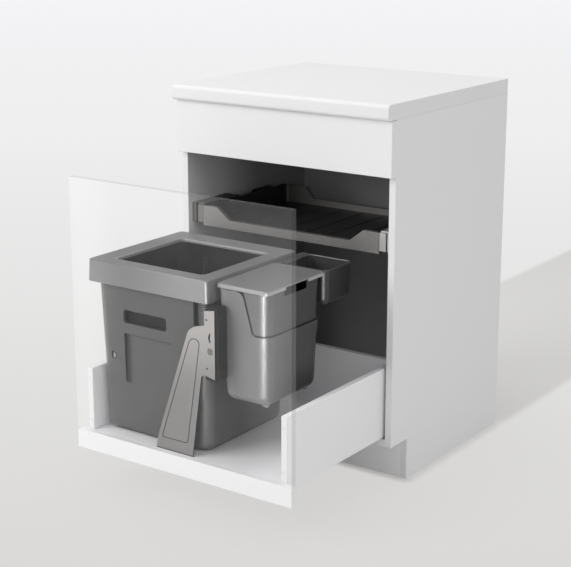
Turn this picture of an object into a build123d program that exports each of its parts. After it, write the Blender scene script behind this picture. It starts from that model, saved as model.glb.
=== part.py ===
from build123d import *
from math import radians, tan
import os

# Pull-out trash cabinet: a base cabinet with a drawer for waste bins and a shallow tray above it.
# Millimetres, +X to the right, +Y towards the back, +Z up. Y = 0 is the front edge of the side
# panels while the pieces are drawn; the whole cabinet is then set with its middle on the origin.
# The drawer is drawn pulled out, as it stands when the bins are in reach.

# ---- Cabinet ----
cabinet_width = 600.0
cabinet_height = 892.0
carcass_depth = 523.0
board = 16.0
worktop_thickness = 36.0
worktop_overhang = 35.5
worktop_edge_radius = 9.0
plinth_height = 100.0
plinth_setback = 72.0
fascia_height = 125.0
fascia_thickness = 19.0
fascia_gap = 1.0
back_thickness = 8.0
back_inset = 18.0
groove_depth = 6.0
groove_play = 0.2
stretcher_width = 96.0
fascia_rail_height = 100.0
dowel_radius = 4.0
dowel_length = 30.0
dowel_in_face = 11.0
dowel_play = 0.1
edge_round = 1.0
wall_screw_radius = 3.0
wall_screw_spacing = 480.0
wall_screw_drop = 48.0

# ---- Drawer ----
pulled_out = 376.0
closing_gap = 2.0
drawer_length = 450.0
drawer_board = 14.0
drawer_side_gap = 7.0
drawer_side_height = 166.5
drawer_side_lift = 4.5
floor_thickness = 10.0
floor_groove = 7.0
front_thickness = 16.0
front_drop = 5.0
front_gap = 2.0

# ---- Concealed drawer runner ----
runner_height = 13.5
runner_width = 38.0
runner_inset = 22.0
runner_setback = 10.0
runner_middle_length = 400.0
runner_sheet = 1.5
runner_wing_height = 30.0
runner_lip = 6.0
track_gap = 2.8
slide_play = 0.3
rollers_per_strip = 3
roller_pitch = 60.0
cage_sheet = 0.6

# ---- Big bin and its bag frame ----
bin_length = 299.0
bin_depth = 290.0
bin_height = 397.7
bin_wall = 3.0
bin_corner = 26.0
bin_foot_round = 18.0
bin_draft = 1.6
bin_side_space = 7.5
bin_front_space = 29.5
grip_length = 124.0
grip_height = 31.0
grip_from_left = 71.0
grip_top_drop = 103.0
grip_pocket = 11.0
panel_height = 111.0
panel_drop = 26.0
panel_recess = 1.4
notch_width = 25.0
notch_height = 60.0
notch_from_right = 1.5
notch_depth = 7.0
catch_size = 23.0
catch_drop = 206.0
catch_from_left = 25.0
frame_height = 49.5
frame_sheet = 2.4
frame_reach = 9.0
frame_corner = 11.0
frame_draft = 2.2
frame_bar_left = 50.0
frame_bar_right = 41.0
frame_bar_front = 40.0
frame_bar_back = 57.0
frame_throat = 22.0
frame_throat_corner = 9.0
rest_gap = 0.3

# ---- Stabiliser and caddy rail ----
steel = 3.0
foot_from_bin = 178.5
foot_width = 102.0
foot_depth = 25.0
foot_inset = 24.0
ear_from_bin = 318.1
ear_width = 27.4
ear_top = 480.0
ear_bottom = 331.0
emboss_depth = 1.2
cam_radius = 7.0
bracket_width = 35.4
bracket_depth = 29.0
bracket_drop = 6.0
bracket_rise = 7.0
rail_sheet = 2.5
rail_height = 39.0
rail_lip_height = 25.0
rail_channel = 9.0
rail_back_space = 38.0

# ---- Caddy and small box ----
row_top = 533.0
row_gap = 3.5
row_width = 137.0
caddy_front_space = 34.0
caddy_length = 214.0
caddy_height = 258.0
caddy_wall = 2.2
caddy_corner = 14.0
caddy_foot_round = 7.0
caddy_lean_left = 18.0
caddy_lean_back = 16.0
caddy_lean_front = 2.0
caddy_inside_lid = 3.5
caddy_cut_drop = 103.0
caddy_band = 30.0
caddy_band_step = 1.5
bucket_play = 0.5
lid_sheet = 3.0
lid_skirt = 9.0
lid_corner = 10.0
hook_sheet = 2.5
hook_space = 1.2
hook_depth = 15.0
bucket_grip_length = 82.0
bucket_grip_height = 18.0
bucket_grip_drop = 6.0
small_box_length = 107.0
small_box_gap = 2.0
small_box_height = 83.0
small_box_wall = 2.4
small_box_corner = 11.0
small_box_flange = 20.0
small_box_draft = 1.0
small_box_foot_round = 9.0

# ---- Upper tray ----
tray_front = 15.0
tray_depth = 337.0
tray_side_room = 34.0
tray_base = 548.0
tray_wall_height = 49.0
tray_wall = 10.0
tray_floor_thickness = 3.0
rim_sheet = 2.5
rim_lip = 11.0
rim_dip = 28.5
rim_low_inset = 79.0
rim_slope = 37.0
back_rim_inset = 18.0
back_rim_low_inset = 81.0
back_rim_slope = 22.0
slide_width = 13.0
slide_height = 35.0
slide_length = 300.0
slide_setback = 30.0
slide_sheet = 1.2
slide_gap = 2.5
slide_middle_depth = 8.6
spacer_front_length = 125.0
spacer_back_length = 70.0
cover_length = 64.0
cover_strip = 12.0
cap_width = 18.0

# ---- Screws ----
screw_radius = 2.0
screw_head_radius = 4.0
screw_head_height = 2.2
screw_play = 0.15

# ---- Places worked out from the sizes above ----
half_width = cabinet_width / 2
inner_half = half_width - board
tray_half_width = inner_half - tray_side_room
carcass_top = cabinet_height - worktop_thickness
carcass_floor = plinth_height + board
fascia_bottom = carcass_top - fascia_gap - fascia_height
front_face_out = pulled_out + closing_gap + front_thickness
panel_back = -(pulled_out + closing_gap)
drawer_half = inner_half - drawer_side_gap
drawer_inner = drawer_half - drawer_board
drawer_back = panel_back + drawer_length
drawer_base = carcass_floor + drawer_side_lift
drawer_top = drawer_base + drawer_side_height
floor_under = carcass_floor + runner_height
floor_top = floor_under + floor_thickness
front_top = fascia_bottom - front_gap
front_bottom = plinth_height - front_drop
cabinet_shift = (front_face_out - carcass_depth) / 2


# ---- Shapes used many times ----
def block(left, right, front, back, bottom, top):
    """A box between six faces."""
    size = Box(right - left, back - front, top - bottom)
    return Pos((left + right) / 2, (front + back) / 2, (bottom + top) / 2) * size


def from_front(outline, front, depth):
    """An outline drawn in X and Z, pushed from Y = front towards the back."""
    return extrude(Plane((0, front, 0), (1, 0, 0), (0, -1, 0)) * outline, amount=-depth)


def from_side(outline, left, width):
    """An outline drawn in Y and Z, pushed from X = left to the right."""
    return extrude(Plane((left, 0, 0), (0, 1, 0), (1, 0, 0)) * outline, amount=width)


def corners(*points):
    """A straight-sided outline through its corner points."""
    return make_face(Polyline(*points, close=True))


def rod_x(left, right, y, z, radius):
    """A round bar along X."""
    return Pos((left + right) / 2, y, z) * Rot(0, 90, 0) * Cylinder(radius, right - left)


def rod_y(front, back, x, z, radius):
    """A round bar along Y."""
    return Pos(x, (front + back) / 2, z) * Rot(90, 0, 0) * Cylinder(radius, back - front)


def rod_z(bottom, top, x, y, radius):
    """A round bar along Z."""
    return Pos(x, y, (bottom + top) / 2) * Cylinder(radius, top - bottom)


def spread(low, high, count):
    """Evenly spaced places from low to high."""
    return [low + (high - low) * step / (count - 1) for step in range(count)]


def level(area, height, radius, inset):
    """One horizontal section of a tub, with rounded corners."""
    left, right, front, back = area
    outline = RectangleRounded(right - left - 2 * inset, back - front - 2 * inset, radius - inset)
    return Pos((left + right) / 2, (front + back) / 2, height) * outline


def tub(foot, mouth, low, high, radius, inset=0.0):
    """A solid that widens from its foot area to its mouth area."""
    return loft([level(foot, low, radius, inset), level(mouth, high, radius, inset)], ruled=True)


def round_foot(solid, radius):
    """Rounds the lowest edges of a tub."""
    return fillet(solid.edges().group_by(Axis.Z)[0], radius)


def grown(area, left, right, front, back):
    """An area with each of its four sides moved outwards."""
    return (area[0] - left, area[1] + right, area[2] - front, area[3] + back)


def keep(name, solid):
    """Sets one piece on the cabinet's origin and writes it."""
    pieces = Pos(0, cabinet_shift, 0) * solid
    export_step(pieces, "parts/" + name + ".step")


def keep_group(name, solids):
    """Writes equal pieces as one group of separate solids."""
    keep(name, Compound(children=[solid.solid() for solid in solids]))


def keep_pair(name, right_solid):
    """Writes a right-hand piece and its mirrored left-hand twin."""
    keep(name + "_right", right_solid)
    keep(name + "_left", mirror(right_solid, about=Plane.YZ))


os.makedirs("parts", exist_ok=True)

# ---- Carcass ----
# Dowels lie across each joint of a side panel: in bores of the panel's face and the board's end.
dowel_reach = dowel_length - dowel_in_face
dowel_margin = 25.0
stretcher_z = carcass_top - board / 2
floor_z = plinth_height + board / 2
back_front = carcass_depth - back_inset - back_thickness
rail_bottom = carcass_top - board - fascia_rail_height
floor_back = back_front + back_thickness + groove_play
rear_front = back_front - board

dowel_places = [(y, floor_z) for y in spread(plinth_setback, back_front - 2 * dowel_margin, 3)]
dowel_places += [(y, stretcher_z) for y in spread(dowel_margin, stretcher_width - dowel_margin, 2)]
dowel_places += [
    (board / 2, z) for z in spread(rail_bottom + dowel_margin, carcass_top - board - dowel_margin, 2)
]
dowel_places += [
    (rear_front + board / 2, z)
    for z in spread(carcass_top - stretcher_width + dowel_margin, carcass_top - dowel_margin, 2)
]

face_bores = []
end_bores = []
dowels = []
for y, z in dowel_places:
    bore = dowel_radius + dowel_play
    face_bores.append(rod_x(inner_half, inner_half + dowel_in_face + dowel_play, y, z, bore))
    end_bores.append(rod_x(inner_half - dowel_reach - dowel_play, inner_half, y, z, bore))
    dowels.append(rod_x(inner_half - dowel_reach, inner_half + dowel_in_face, y, z, dowel_radius))
both_end_bores = end_bores + [mirror(bore, about=Plane.YZ) for bore in end_bores]

# Screw holes of the runner and of the tray's spacers in the side panel.
wing_end_space = 27.0
wing_screw_drop = 9.0
wing_screws = spread(
    runner_setback + wing_end_space, runner_setback + drawer_length - 2 * wing_end_space, 3
)
wing_z = carcass_floor + runner_wing_height - wing_screw_drop
spacer_lead = 5.0
spacer_end_space = 18.0
spacer_z = tray_base + tray_wall_height * 0.45
spacer_fronts = (slide_setback - spacer_lead, slide_setback + slide_length - spacer_back_length)
spacer_backs = (spacer_fronts[0] + spacer_front_length, slide_setback + slide_length)
spacer_screws = [
    spacer_backs[0] - 2 * spacer_end_space,
    spacer_backs[0] - spacer_end_space,
    spacer_fronts[1] + spacer_end_space,
    spacer_backs[1] - spacer_end_space,
]
panel_screw_depth = 12.0
panel_bore = screw_radius + screw_play

side_outline = corners(
    (0, plinth_height),
    (plinth_setback, plinth_height),
    (plinth_setback, 0),
    (carcass_depth, 0),
    (carcass_depth, carcass_top),
    (0, carcass_top),
)
side_panel = from_side(side_outline, inner_half, board)
back_groove = block(
    inner_half,
    inner_half + groove_depth + groove_play,
    back_front - groove_play,
    back_front + back_thickness + groove_play,
    plinth_height,
    carcass_top,
)
side_panel -= back_groove
side_panel -= face_bores
for y in wing_screws:
    side_panel -= rod_x(inner_half, inner_half + panel_screw_depth, y, wing_z, panel_bore)
for y in spacer_screws:
    side_panel -= rod_x(inner_half, inner_half + panel_screw_depth, y, spacer_z, panel_bore)
keep_pair("side_panel", side_panel)
keep_group("carcass_dowels", dowels + [mirror(dowel, about=Plane.YZ) for dowel in dowels])

bottom_panel = block(-inner_half, inner_half, 0, back_front - groove_play, plinth_height, carcass_floor)
keep("bottom_panel", bottom_panel - both_end_bores)

# Two screws fix the cabinet to the wall through the rear stretcher and the back panel.
wall_holes = [
    rod_y(
        rear_front,
        back_front + back_thickness,
        x,
        carcass_top - wall_screw_drop,
        wall_screw_radius,
    )
    for x in spread(-wall_screw_spacing / 2, wall_screw_spacing / 2, 2)
]
back_half = inner_half + groove_depth
back_panel = block(
    -back_half, back_half, back_front, back_front + back_thickness, plinth_height, carcass_top
)
keep("back_panel", back_panel - wall_holes)

plinth_board = block(
    -inner_half, inner_half, plinth_setback, plinth_setback + board, 0, plinth_height
)
keep("plinth_board", plinth_board)

rear_stretcher = block(
    -inner_half, inner_half, rear_front, back_front, carcass_top - stretcher_width, carcass_top
)
keep("rear_stretcher", rear_stretcher - both_end_bores - wall_holes)

# The front stretcher lies flat under the worktop and takes its screws.
worktop_screw_y = stretcher_width * 0.55
worktop_screw_x = spread(-inner_half * 0.7, inner_half * 0.7, 3)
worktop_bite = 22.0
front_stretcher = block(
    -inner_half, inner_half, 0, stretcher_width, carcass_top - board, carcass_top
)
front_stretcher -= both_end_bores
worktop_screws = []
worktop_holes = []
for x in worktop_screw_x:
    head_low = carcass_top - board - screw_head_height
    shank = rod_z(head_low, carcass_top + worktop_bite, x, worktop_screw_y, screw_radius)
    head = rod_z(head_low, carcass_top - board, x, worktop_screw_y, screw_head_radius)
    worktop_screws.append(shank + head)
    worktop_holes.append(
        rod_z(
            carcass_top - board,
            carcass_top + worktop_bite + screw_play,
            x,
            worktop_screw_y,
            screw_radius + screw_play,
        )
    )
keep("front_stretcher", front_stretcher - worktop_holes)
keep_group("worktop_screws", worktop_screws)

worktop_outline = fillet(
    (
        Pos((carcass_depth - worktop_overhang) / 2, carcass_top + worktop_thickness / 2)
        * Rectangle(carcass_depth + worktop_overhang, worktop_thickness)
    )
    .vertices()
    .group_by(Axis.X)[0],
    worktop_edge_radius,
)
worktop = from_side(worktop_outline, -half_width, cabinet_width)
keep("worktop", worktop - worktop_holes)

# The fascia is a fixed front above the opening, screwed from behind through its rail.
fascia = block(
    -half_width, half_width, -fascia_thickness, 0, fascia_bottom, fascia_bottom + fascia_height
)
fascia = chamfer(fascia.faces().sort_by(Axis.Y)[0].edges(), edge_round)
fascia_rail = block(-inner_half, inner_half, 0, board, rail_bottom, carcass_top - board)
fascia_rail -= both_end_bores
fascia_bite = 12.0
fascia_screws = []
fascia_holes = []
for x in worktop_screw_x:
    z = rail_bottom + fascia_rail_height / 2
    shank = rod_y(-fascia_bite, board + screw_head_height, x, z, screw_radius)
    fascia_screws.append(shank + rod_y(board, board + screw_head_height, x, z, screw_head_radius))
    fascia_holes.append(rod_y(-fascia_bite - screw_play, board, x, z, screw_radius + screw_play))
keep("fascia", fascia - fascia_holes)
keep("fascia_rail", fascia_rail - fascia_holes)
keep_group("fascia_screws", fascia_screws)

# ---- Drawer box ----
side_bores = []
drawer_dowels = []
back_y = drawer_back - drawer_board / 2
front_dowel_bite = 8.0
outer_skin = 4.0
side_middle = drawer_half - drawer_board / 2
for z in spread(floor_top + dowel_margin, drawer_top - dowel_margin, 2):
    across = rod_x(drawer_inner - dowel_reach, drawer_half - outer_skin, back_y, z, dowel_radius)
    drawer_dowels.append(across)
    side_bores.append(
        rod_x(
            drawer_inner - dowel_reach - dowel_play,
            drawer_half - outer_skin + dowel_play,
            back_y,
            z,
            dowel_radius + dowel_play,
        )
    )
    front_low = panel_back - front_dowel_bite
    drawer_dowels.append(
        rod_y(front_low, front_low + dowel_length, side_middle, z, dowel_radius)
    )
    side_bores.append(
        rod_y(
            front_low - dowel_play,
            front_low + dowel_length + dowel_play,
            side_middle,
            z,
            dowel_radius + dowel_play,
        )
    )
all_side_bores = side_bores + [mirror(bore, about=Plane.YZ) for bore in side_bores]

drawer_side = block(drawer_inner, drawer_half, panel_back, drawer_back, drawer_base, drawer_top)
drawer_side = fillet(
    drawer_side.edges().filter_by(Axis.Y).group_by(Axis.Z)[-1], edge_round
)
drawer_side -= block(
    drawer_inner,
    drawer_inner + floor_groove + groove_play,
    panel_back,
    drawer_back,
    floor_under - groove_play,
    floor_top + groove_play,
)
keep_pair("drawer_side", drawer_side - side_bores)
keep_group(
    "drawer_dowels", drawer_dowels + [mirror(dowel, about=Plane.YZ) for dowel in drawer_dowels]
)

# The stabiliser's foot screws bite into the floor board.
bin_left = -drawer_inner + bin_side_space
foot_left = bin_left + foot_from_bin
foot_screw_space = 15.0
foot_screw_y = panel_back + foot_screw_space
foot_screw_x = spread(
    foot_left + foot_screw_space, foot_left + foot_width - foot_inset - foot_screw_space, 2
)
foot_bite = 8.0
floor_half = drawer_inner + floor_groove
drawer_floor = block(-floor_half, floor_half, panel_back, drawer_back, floor_under, floor_top)
for x in foot_screw_x:
    drawer_floor -= rod_z(
        floor_top - foot_bite - screw_play, floor_top, x, foot_screw_y, screw_radius + screw_play
    )
keep("drawer_floor", drawer_floor)

back_board = block(
    -drawer_inner, drawer_inner, drawer_back - drawer_board, drawer_back, floor_top, drawer_top
)
keep("drawer_back", back_board - all_side_bores)

front_panel = block(
    -half_width, half_width, panel_back - front_thickness, panel_back, front_bottom, front_top
)
front_panel = chamfer(front_panel.edges().filter_by(Axis.Z), edge_round)
front_panel -= all_side_bores
keep("front_panel", front_panel)

# ---- Concealed runners ----
# The cabinet rail stands on the cabinet bottom with a wing up the side panel. The drawer rail is
# the upturned channel under the drawer's floor. The middle rail runs between them on rollers and
# makes half of the drawer's way.
runner_x = inner_half - runner_inset - runner_width / 2
runner_low = carcass_floor
runner_top = floor_under
outer_half = runner_width / 2
lip_inner = outer_half - runner_sheet
middle_half = lip_inner - track_gap
middle_low = runner_low + runner_sheet + slide_play
middle_top = runner_top - runner_sheet - slide_play
web_z = (middle_low + middle_top) / 2

wing_outer = inner_half
wing_inner = inner_half - runner_sheet
outer_left = runner_x - outer_half
outer_right = runner_x + outer_half
cabinet_rail_outline = corners(
    (outer_left, runner_low),
    (wing_outer, runner_low),
    (wing_outer, runner_low + runner_wing_height),
    (wing_inner, runner_low + runner_wing_height),
    (wing_inner, runner_low + runner_sheet),
    (outer_right, runner_low + runner_sheet),
    (outer_right, runner_low + runner_lip),
    (outer_right - runner_sheet, runner_low + runner_lip),
    (outer_right - runner_sheet, runner_low + runner_sheet),
    (outer_left + runner_sheet, runner_low + runner_sheet),
    (outer_left + runner_sheet, runner_low + runner_lip),
    (outer_left, runner_low + runner_lip),
)
cabinet_rail = from_front(cabinet_rail_outline, runner_setback, drawer_length)
runner_screws = []
for y in wing_screws:
    cabinet_rail -= rod_x(wing_inner, wing_outer, y, wing_z, panel_bore)
    head_left = wing_inner - screw_head_height
    shank = rod_x(head_left, inner_half + panel_screw_depth - screw_play, y, wing_z, screw_radius)
    head = rod_x(head_left, wing_inner, y, wing_z, screw_head_radius)
    runner_screws.append(shank + head)
keep_pair("runner_cabinet_rail", cabinet_rail)
keep_group(
    "runner_screws", runner_screws + [mirror(screw, about=Plane.YZ) for screw in runner_screws]
)

drawer_rail_outline = corners(
    (outer_left, runner_top),
    (outer_right, runner_top),
    (outer_right, runner_top - runner_lip),
    (outer_right - runner_sheet, runner_top - runner_lip),
    (outer_right - runner_sheet, runner_top - runner_sheet),
    (outer_left + runner_sheet, runner_top - runner_sheet),
    (outer_left + runner_sheet, runner_top - runner_lip),
    (outer_left, runner_top - runner_lip),
)
drawer_rail_space = 4.0
drawer_rail = from_front(
    drawer_rail_outline, panel_back + drawer_rail_space, drawer_length - 2 * drawer_rail_space
)
keep_pair("runner_drawer_rail", drawer_rail)

middle_left = runner_x - middle_half
middle_right = runner_x + middle_half
middle_rail_outline = corners(
    (middle_left, middle_low),
    (middle_left + runner_sheet, middle_low),
    (middle_left + runner_sheet, web_z - runner_sheet / 2),
    (middle_right - runner_sheet, web_z - runner_sheet / 2),
    (middle_right - runner_sheet, middle_low),
    (middle_right, middle_low),
    (middle_right, middle_top),
    (middle_right - runner_sheet, middle_top),
    (middle_right - runner_sheet, web_z + runner_sheet / 2),
    (middle_left + runner_sheet, web_z + runner_sheet / 2),
    (middle_left + runner_sheet, middle_top),
    (middle_left, middle_top),
)
middle_front = runner_setback - pulled_out / 2
keep_pair("runner_middle_rail", from_front(middle_rail_outline, middle_front, runner_middle_length))

# Each strip carries upright rollers, which run on a rail's lip and the middle rail's flange.
roller_radius = track_gap / 2 - slide_play
cage_half = 1.0
roller_end_play = 0.2
lower_strip = (middle_low + roller_end_play, runner_low + runner_lip - roller_end_play)
upper_strip = (runner_top - runner_lip + roller_end_play, middle_top - roller_end_play)


def runner_strip(x, bottom, top, first):
    """A cage strip with its rollers, between a lip and a flange."""
    length = roller_pitch * (rollers_per_strip - 1)
    middle = (bottom + top) / 2
    half = cage_sheet / 2
    strip = block(x - half, x + half, first, first + length, middle - cage_half, middle + cage_half)
    for turn in range(rollers_per_strip):
        strip += rod_z(bottom, top, x, first + roller_pitch * turn, roller_radius)
    return strip


strip_x = middle_half + track_gap / 2
strip_lead = 20.0
lower_first = runner_setback + strip_lead
upper_first = middle_front + strip_lead
strips = []
for x in (runner_x - strip_x, runner_x + strip_x):
    strips.append(runner_strip(x, *lower_strip, lower_first))
    strips.append(runner_strip(x, *upper_strip, upper_first))
keep_group("runner_rollers_right", strips)
keep_group("runner_rollers_left", [mirror(strip, about=Plane.YZ) for strip in strips])

# ---- Big bin ----
bin_front = panel_back + bin_front_space
bin_foot = (bin_left, bin_left + bin_length, bin_front, bin_front + bin_depth)
bin_lean = bin_height * tan(radians(bin_draft))
bin_mouth = grown(bin_foot, bin_lean, bin_lean, bin_lean, bin_lean)
bin_top = floor_top + bin_height
bin_body = round_foot(tub(bin_foot, bin_mouth, floor_top, bin_top, bin_corner), bin_foot_round)
bin_hollow = tub(bin_foot, bin_mouth, floor_top + bin_wall, bin_top, bin_corner, bin_wall)
bin_hollow = round_foot(bin_hollow, bin_foot_round - bin_wall)

# The grip and the corner notch are pockets in the front wall, with their own wall behind.
grip_left = bin_left + grip_from_left
grip_top = bin_top - grip_top_drop
grip_x = grip_left + grip_length / 2
grip_z = grip_top - grip_height / 2
face_at_grip = bin_front - (grip_z - floor_top) * tan(radians(bin_draft))
notch_right = bin_left + bin_length - notch_from_right
notch_x = notch_right - notch_width / 2
notch_cover = 4.0
notch_top = bin_top - frame_height + notch_cover
notch_z = notch_top - notch_height / 2
face_at_notch = bin_front - (notch_z - floor_top) * tan(radians(bin_draft))
ahead = 20.0


def pocket(x, z, width, height, corner, face, depth, wall):
    """A rounded pocket pushed into the front wall, grown by a wall."""
    outline = Pos(x, z) * RectangleRounded(width + 2 * wall, height + 2 * wall, corner + wall)
    return from_front(outline, face - ahead, ahead + depth + wall)


grip_corner = 7.0
notch_corner = 3.0
grip_args = (grip_x, grip_z, grip_length, grip_height, grip_corner, face_at_grip, grip_pocket)
notch_args = (notch_x, notch_z, notch_width, notch_height, notch_corner, face_at_notch, notch_depth)
bin_hollow -= pocket(*grip_args, bin_wall)
bin_hollow -= pocket(*notch_args, bin_wall)
big_bin = bin_body - bin_hollow - pocket(*grip_args, 0) - pocket(*notch_args, 0)

# A shallow recessed panel under the grip and a square catch beside it.
skin_foot = tub(bin_foot, bin_mouth, floor_top, bin_top, bin_corner, panel_recess)
panel_z = grip_top - grip_height - panel_drop - panel_height / 2
catch_x = bin_left + catch_from_left + catch_size / 2
catch_z = bin_top - catch_drop - catch_size / 2


def front_stamp(x, z, width, height, corner):
    """A rounded outline pushed through the bin's front wall."""
    start = bin_front - bin_lean - ahead
    outline = Pos(x, z) * RectangleRounded(width, height, corner)
    return from_front(outline, start, ahead + bin_lean + bin_wall)


panel_prism = front_stamp(grip_x, panel_z, grip_length, panel_height, 6)
catch_prism = front_stamp(catch_x, catch_z, catch_size, catch_size, 3)
catch_boss = front_stamp(catch_x, catch_z, catch_size * 0.45, catch_size * 0.6, 2)
big_bin -= (panel_prism + (catch_prism - catch_boss)) - skin_foot

# The lip round the mouth, which the bag frame grips.
lip_height = 6.0
lip_reach = 4.0
lip_area = grown(bin_mouth, lip_reach, lip_reach, lip_reach, lip_reach)
lip_ring = tub(lip_area, lip_area, bin_top - lip_height, bin_top, bin_corner + lip_reach)
lip_ring -= tub(bin_foot, bin_mouth, floor_top, bin_top, bin_corner, bin_wall / 2)
keep("big_bin", big_bin + lip_ring)

# ---- Bag frame ----
# A deep rim that drops over the bin's mouth: a skirt outside, flat bars on top and a short throat.
frame_top = bin_top + rest_gap + frame_sheet
frame_low = frame_top - frame_height
frame_lean = frame_height * tan(radians(frame_draft))
frame_upper = grown(bin_mouth, frame_reach, frame_reach, frame_reach, frame_reach)
frame_lower = grown(frame_upper, frame_lean, frame_lean, frame_lean, frame_lean)
frame_body = tub(frame_lower, frame_upper, frame_low, frame_top, frame_corner)
frame_edge_round = frame_sheet * 0.65
frame_body = fillet(frame_body.edges().group_by(Axis.Z)[-1], frame_edge_round)
frame_hollow = tub(
    frame_lower, frame_upper, frame_low, frame_top - frame_sheet, frame_corner, frame_sheet
)
mouth_area = grown(
    frame_upper, -frame_bar_left, -frame_bar_right, -frame_bar_front, -frame_bar_back
)
throat_corner = frame_throat_corner + frame_sheet
throat_low = frame_top - frame_throat
throat = tub(mouth_area, mouth_area, throat_low, frame_top, throat_corner, -frame_sheet)
opening = tub(mouth_area, mouth_area, frame_low, frame_top, frame_throat_corner)
frame_shell = frame_body - (frame_hollow - throat) - opening
inner_edges = frame_shell.faces().sort_by(Axis.Z)[-1].inner_wires()[0].edges()
keep("bag_frame", chamfer(inner_edges, frame_edge_round))

# ---- Stabiliser ----
# A stamped leg stands on the drawer's floor behind the front panel and braces it. Its ear carries
# the bracket of the caddy rail and the adjuster cam.
ear_left = bin_left + ear_from_bin
ear_right = ear_left + ear_width
foot_right = foot_left + foot_width
ear_slant = 2.0
toe_height = 26.0
armpit = (ear_left - 10, ear_bottom)
shoulder_point = (foot_right - 8, ear_top - 56)
collar_point = (foot_right + 4, ear_top - 43)
leg_outline = corners(
    (foot_left, floor_top),
    (foot_right, floor_top),
    armpit,
    (ear_left, ear_bottom + 2 * ear_slant),
    (ear_right, ear_bottom - ear_slant),
    (ear_right, ear_top + ear_slant),
    (ear_left, ear_top - ear_slant),
    (ear_left, ear_top - 34),
    collar_point,
    shoulder_point,
    (foot_left + 4, floor_top + toe_height),
)
shoulder = leg_outline.vertices().sort_by_distance(shoulder_point)[0]
leg_outline = fillet(shoulder, 12)
collar = leg_outline.vertices().sort_by_distance(collar_point)[0]
leg_outline = fillet(collar, 8)

# The raised field of the leg keeps a margin from its outline.
emboss_foot = floor_top + toe_height + 4
emboss_top = shoulder_point[1] - 12
emboss_outline = corners(
    (foot_left + 15, emboss_foot),
    (foot_right - 12, emboss_foot),
    (foot_right + 26, emboss_top),
    (foot_right - 2, emboss_top),
)
emboss_outline = fillet(emboss_outline.vertices().group_by(Axis.Y)[-1], 12)
emboss_outline = fillet(emboss_outline.vertices().group_by(Axis.Y)[0], 7)

leg = from_front(leg_outline, panel_back, steel)
leg += from_front(emboss_outline, panel_back + steel, emboss_depth)
leg -= from_front(emboss_outline, panel_back, emboss_depth)
foot = block(
    foot_left,
    foot_right - foot_inset,
    panel_back,
    panel_back + foot_depth,
    floor_top,
    floor_top + steel,
)
leg += fillet(foot.edges().filter_by(Axis.Z).group_by(Axis.Y)[-1], 6)

cam_from_ear = 15.0
cam_drop = 90.0
ear_screw_margin = 6.0
cam_x = ear_left + cam_from_ear
cam_z = ear_top - cam_drop
ear_screw_x = ear_left + ear_screw_margin
ear_screw_z = (ear_top - 21, ear_bottom + 20)
foot_bore = screw_radius + screw_play
for x in foot_screw_x:
    leg -= rod_z(floor_top, floor_top + steel, x, foot_screw_y, foot_bore)
for z in ear_screw_z:
    leg -= rod_y(panel_back, panel_back + steel, ear_screw_x, z, foot_bore)
leg -= rod_y(panel_back, panel_back + steel, cam_x, cam_z, cam_radius + slide_play)
slot_rise = 30.0
slot_half = 9.0
slot_width = 2.4
slot_arc = ThreePointArc(
    (cam_x - 1, cam_z + slot_rise - slot_half),
    (cam_x - 3.5, cam_z + slot_rise),
    (cam_x - 1, cam_z + slot_rise + slot_half),
)
leg -= from_front(trace(slot_arc, line_width=slot_width), panel_back, steel)
keep("stabiliser", leg)

# The cam turns in the ear with its journal in the bracket behind, and has a cross recess.
bracket_front = panel_back + steel
bracket_back = bracket_front + bracket_depth
cam_journal = 3.5
cam_seat = 8.0
cam_gap = 0.2
cam = rod_y(panel_back + cam_gap, bracket_front - cam_gap, cam_x, cam_z, cam_radius)
cam += rod_y(bracket_front - cam_gap, bracket_front + cam_seat, cam_x, cam_z, cam_journal)
recess_half = 4.5
recess_slot = 1.0
recess_back = panel_back + 1.8
cross = block(-recess_half, recess_half, panel_back, recess_back, -recess_slot, recess_slot)
cross += block(-recess_slot, recess_slot, panel_back, recess_back, -recess_half, recess_half)
cross = Pos(cam_x, 0, cam_z) * cross
keep("adjuster_cam", cam - cross)

# The moulded bracket: a head behind the ear, with a deeper heel that carries the rail.
row_left = bin_mouth[1] + frame_reach + row_gap
hook_left = frame_lower[1] + hook_space
rail_left = hook_left - rail_channel
bracket_right = ear_left + bracket_width
bracket_low = ear_bottom - bracket_drop
bracket_top = ear_top + bracket_rise
heel_depth = 15.0
heel_low = ear_top - 70
heel_overlap = 10.0
heel_top_drop = 3.0
bracket_wall = 5.0
bracket_face = cam_seat + 1.0
bracket = block(ear_left, bracket_right, bracket_front, bracket_back, bracket_low, bracket_top)
bracket = fillet(bracket.edges().filter_by(Axis.Y), 4)
bracket += block(
    rail_left - 1,
    ear_left + heel_overlap,
    bracket_back - heel_depth,
    bracket_back,
    heel_low,
    bracket_top - heel_top_drop,
)
bracket -= block(
    ear_left + bracket_wall,
    bracket_right - bracket_wall,
    bracket_front + bracket_face,
    bracket_back,
    bracket_low + bracket_wall,
    heel_low - bracket_wall,
)
bracket -= rod_y(
    bracket_front, bracket_front + bracket_face, cam_x, cam_z, cam_journal + slide_play
)
bracket_bite = 7.0
screw_tip_room = 0.5
for z in ear_screw_z:
    bracket -= rod_y(
        bracket_front, bracket_front + bracket_bite + screw_tip_room, ear_screw_x, z, foot_bore
    )
keep("caddy_bracket", bracket)

stabiliser_screws = []
for z in ear_screw_z:
    stabiliser_screws.append(
        rod_y(panel_back + screw_tip_room, bracket_front + bracket_bite, ear_screw_x, z, screw_radius)
    )
for x in foot_screw_x:
    shank = rod_z(floor_top - foot_bite, floor_top + steel, x, foot_screw_y, screw_radius)
    head_top = floor_top + steel + screw_head_height
    head = rod_z(floor_top + steel, head_top, x, foot_screw_y, screw_head_radius)
    stabiliser_screws.append(shank + head)
keep_group("stabiliser_screws", stabiliser_screws)

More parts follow.
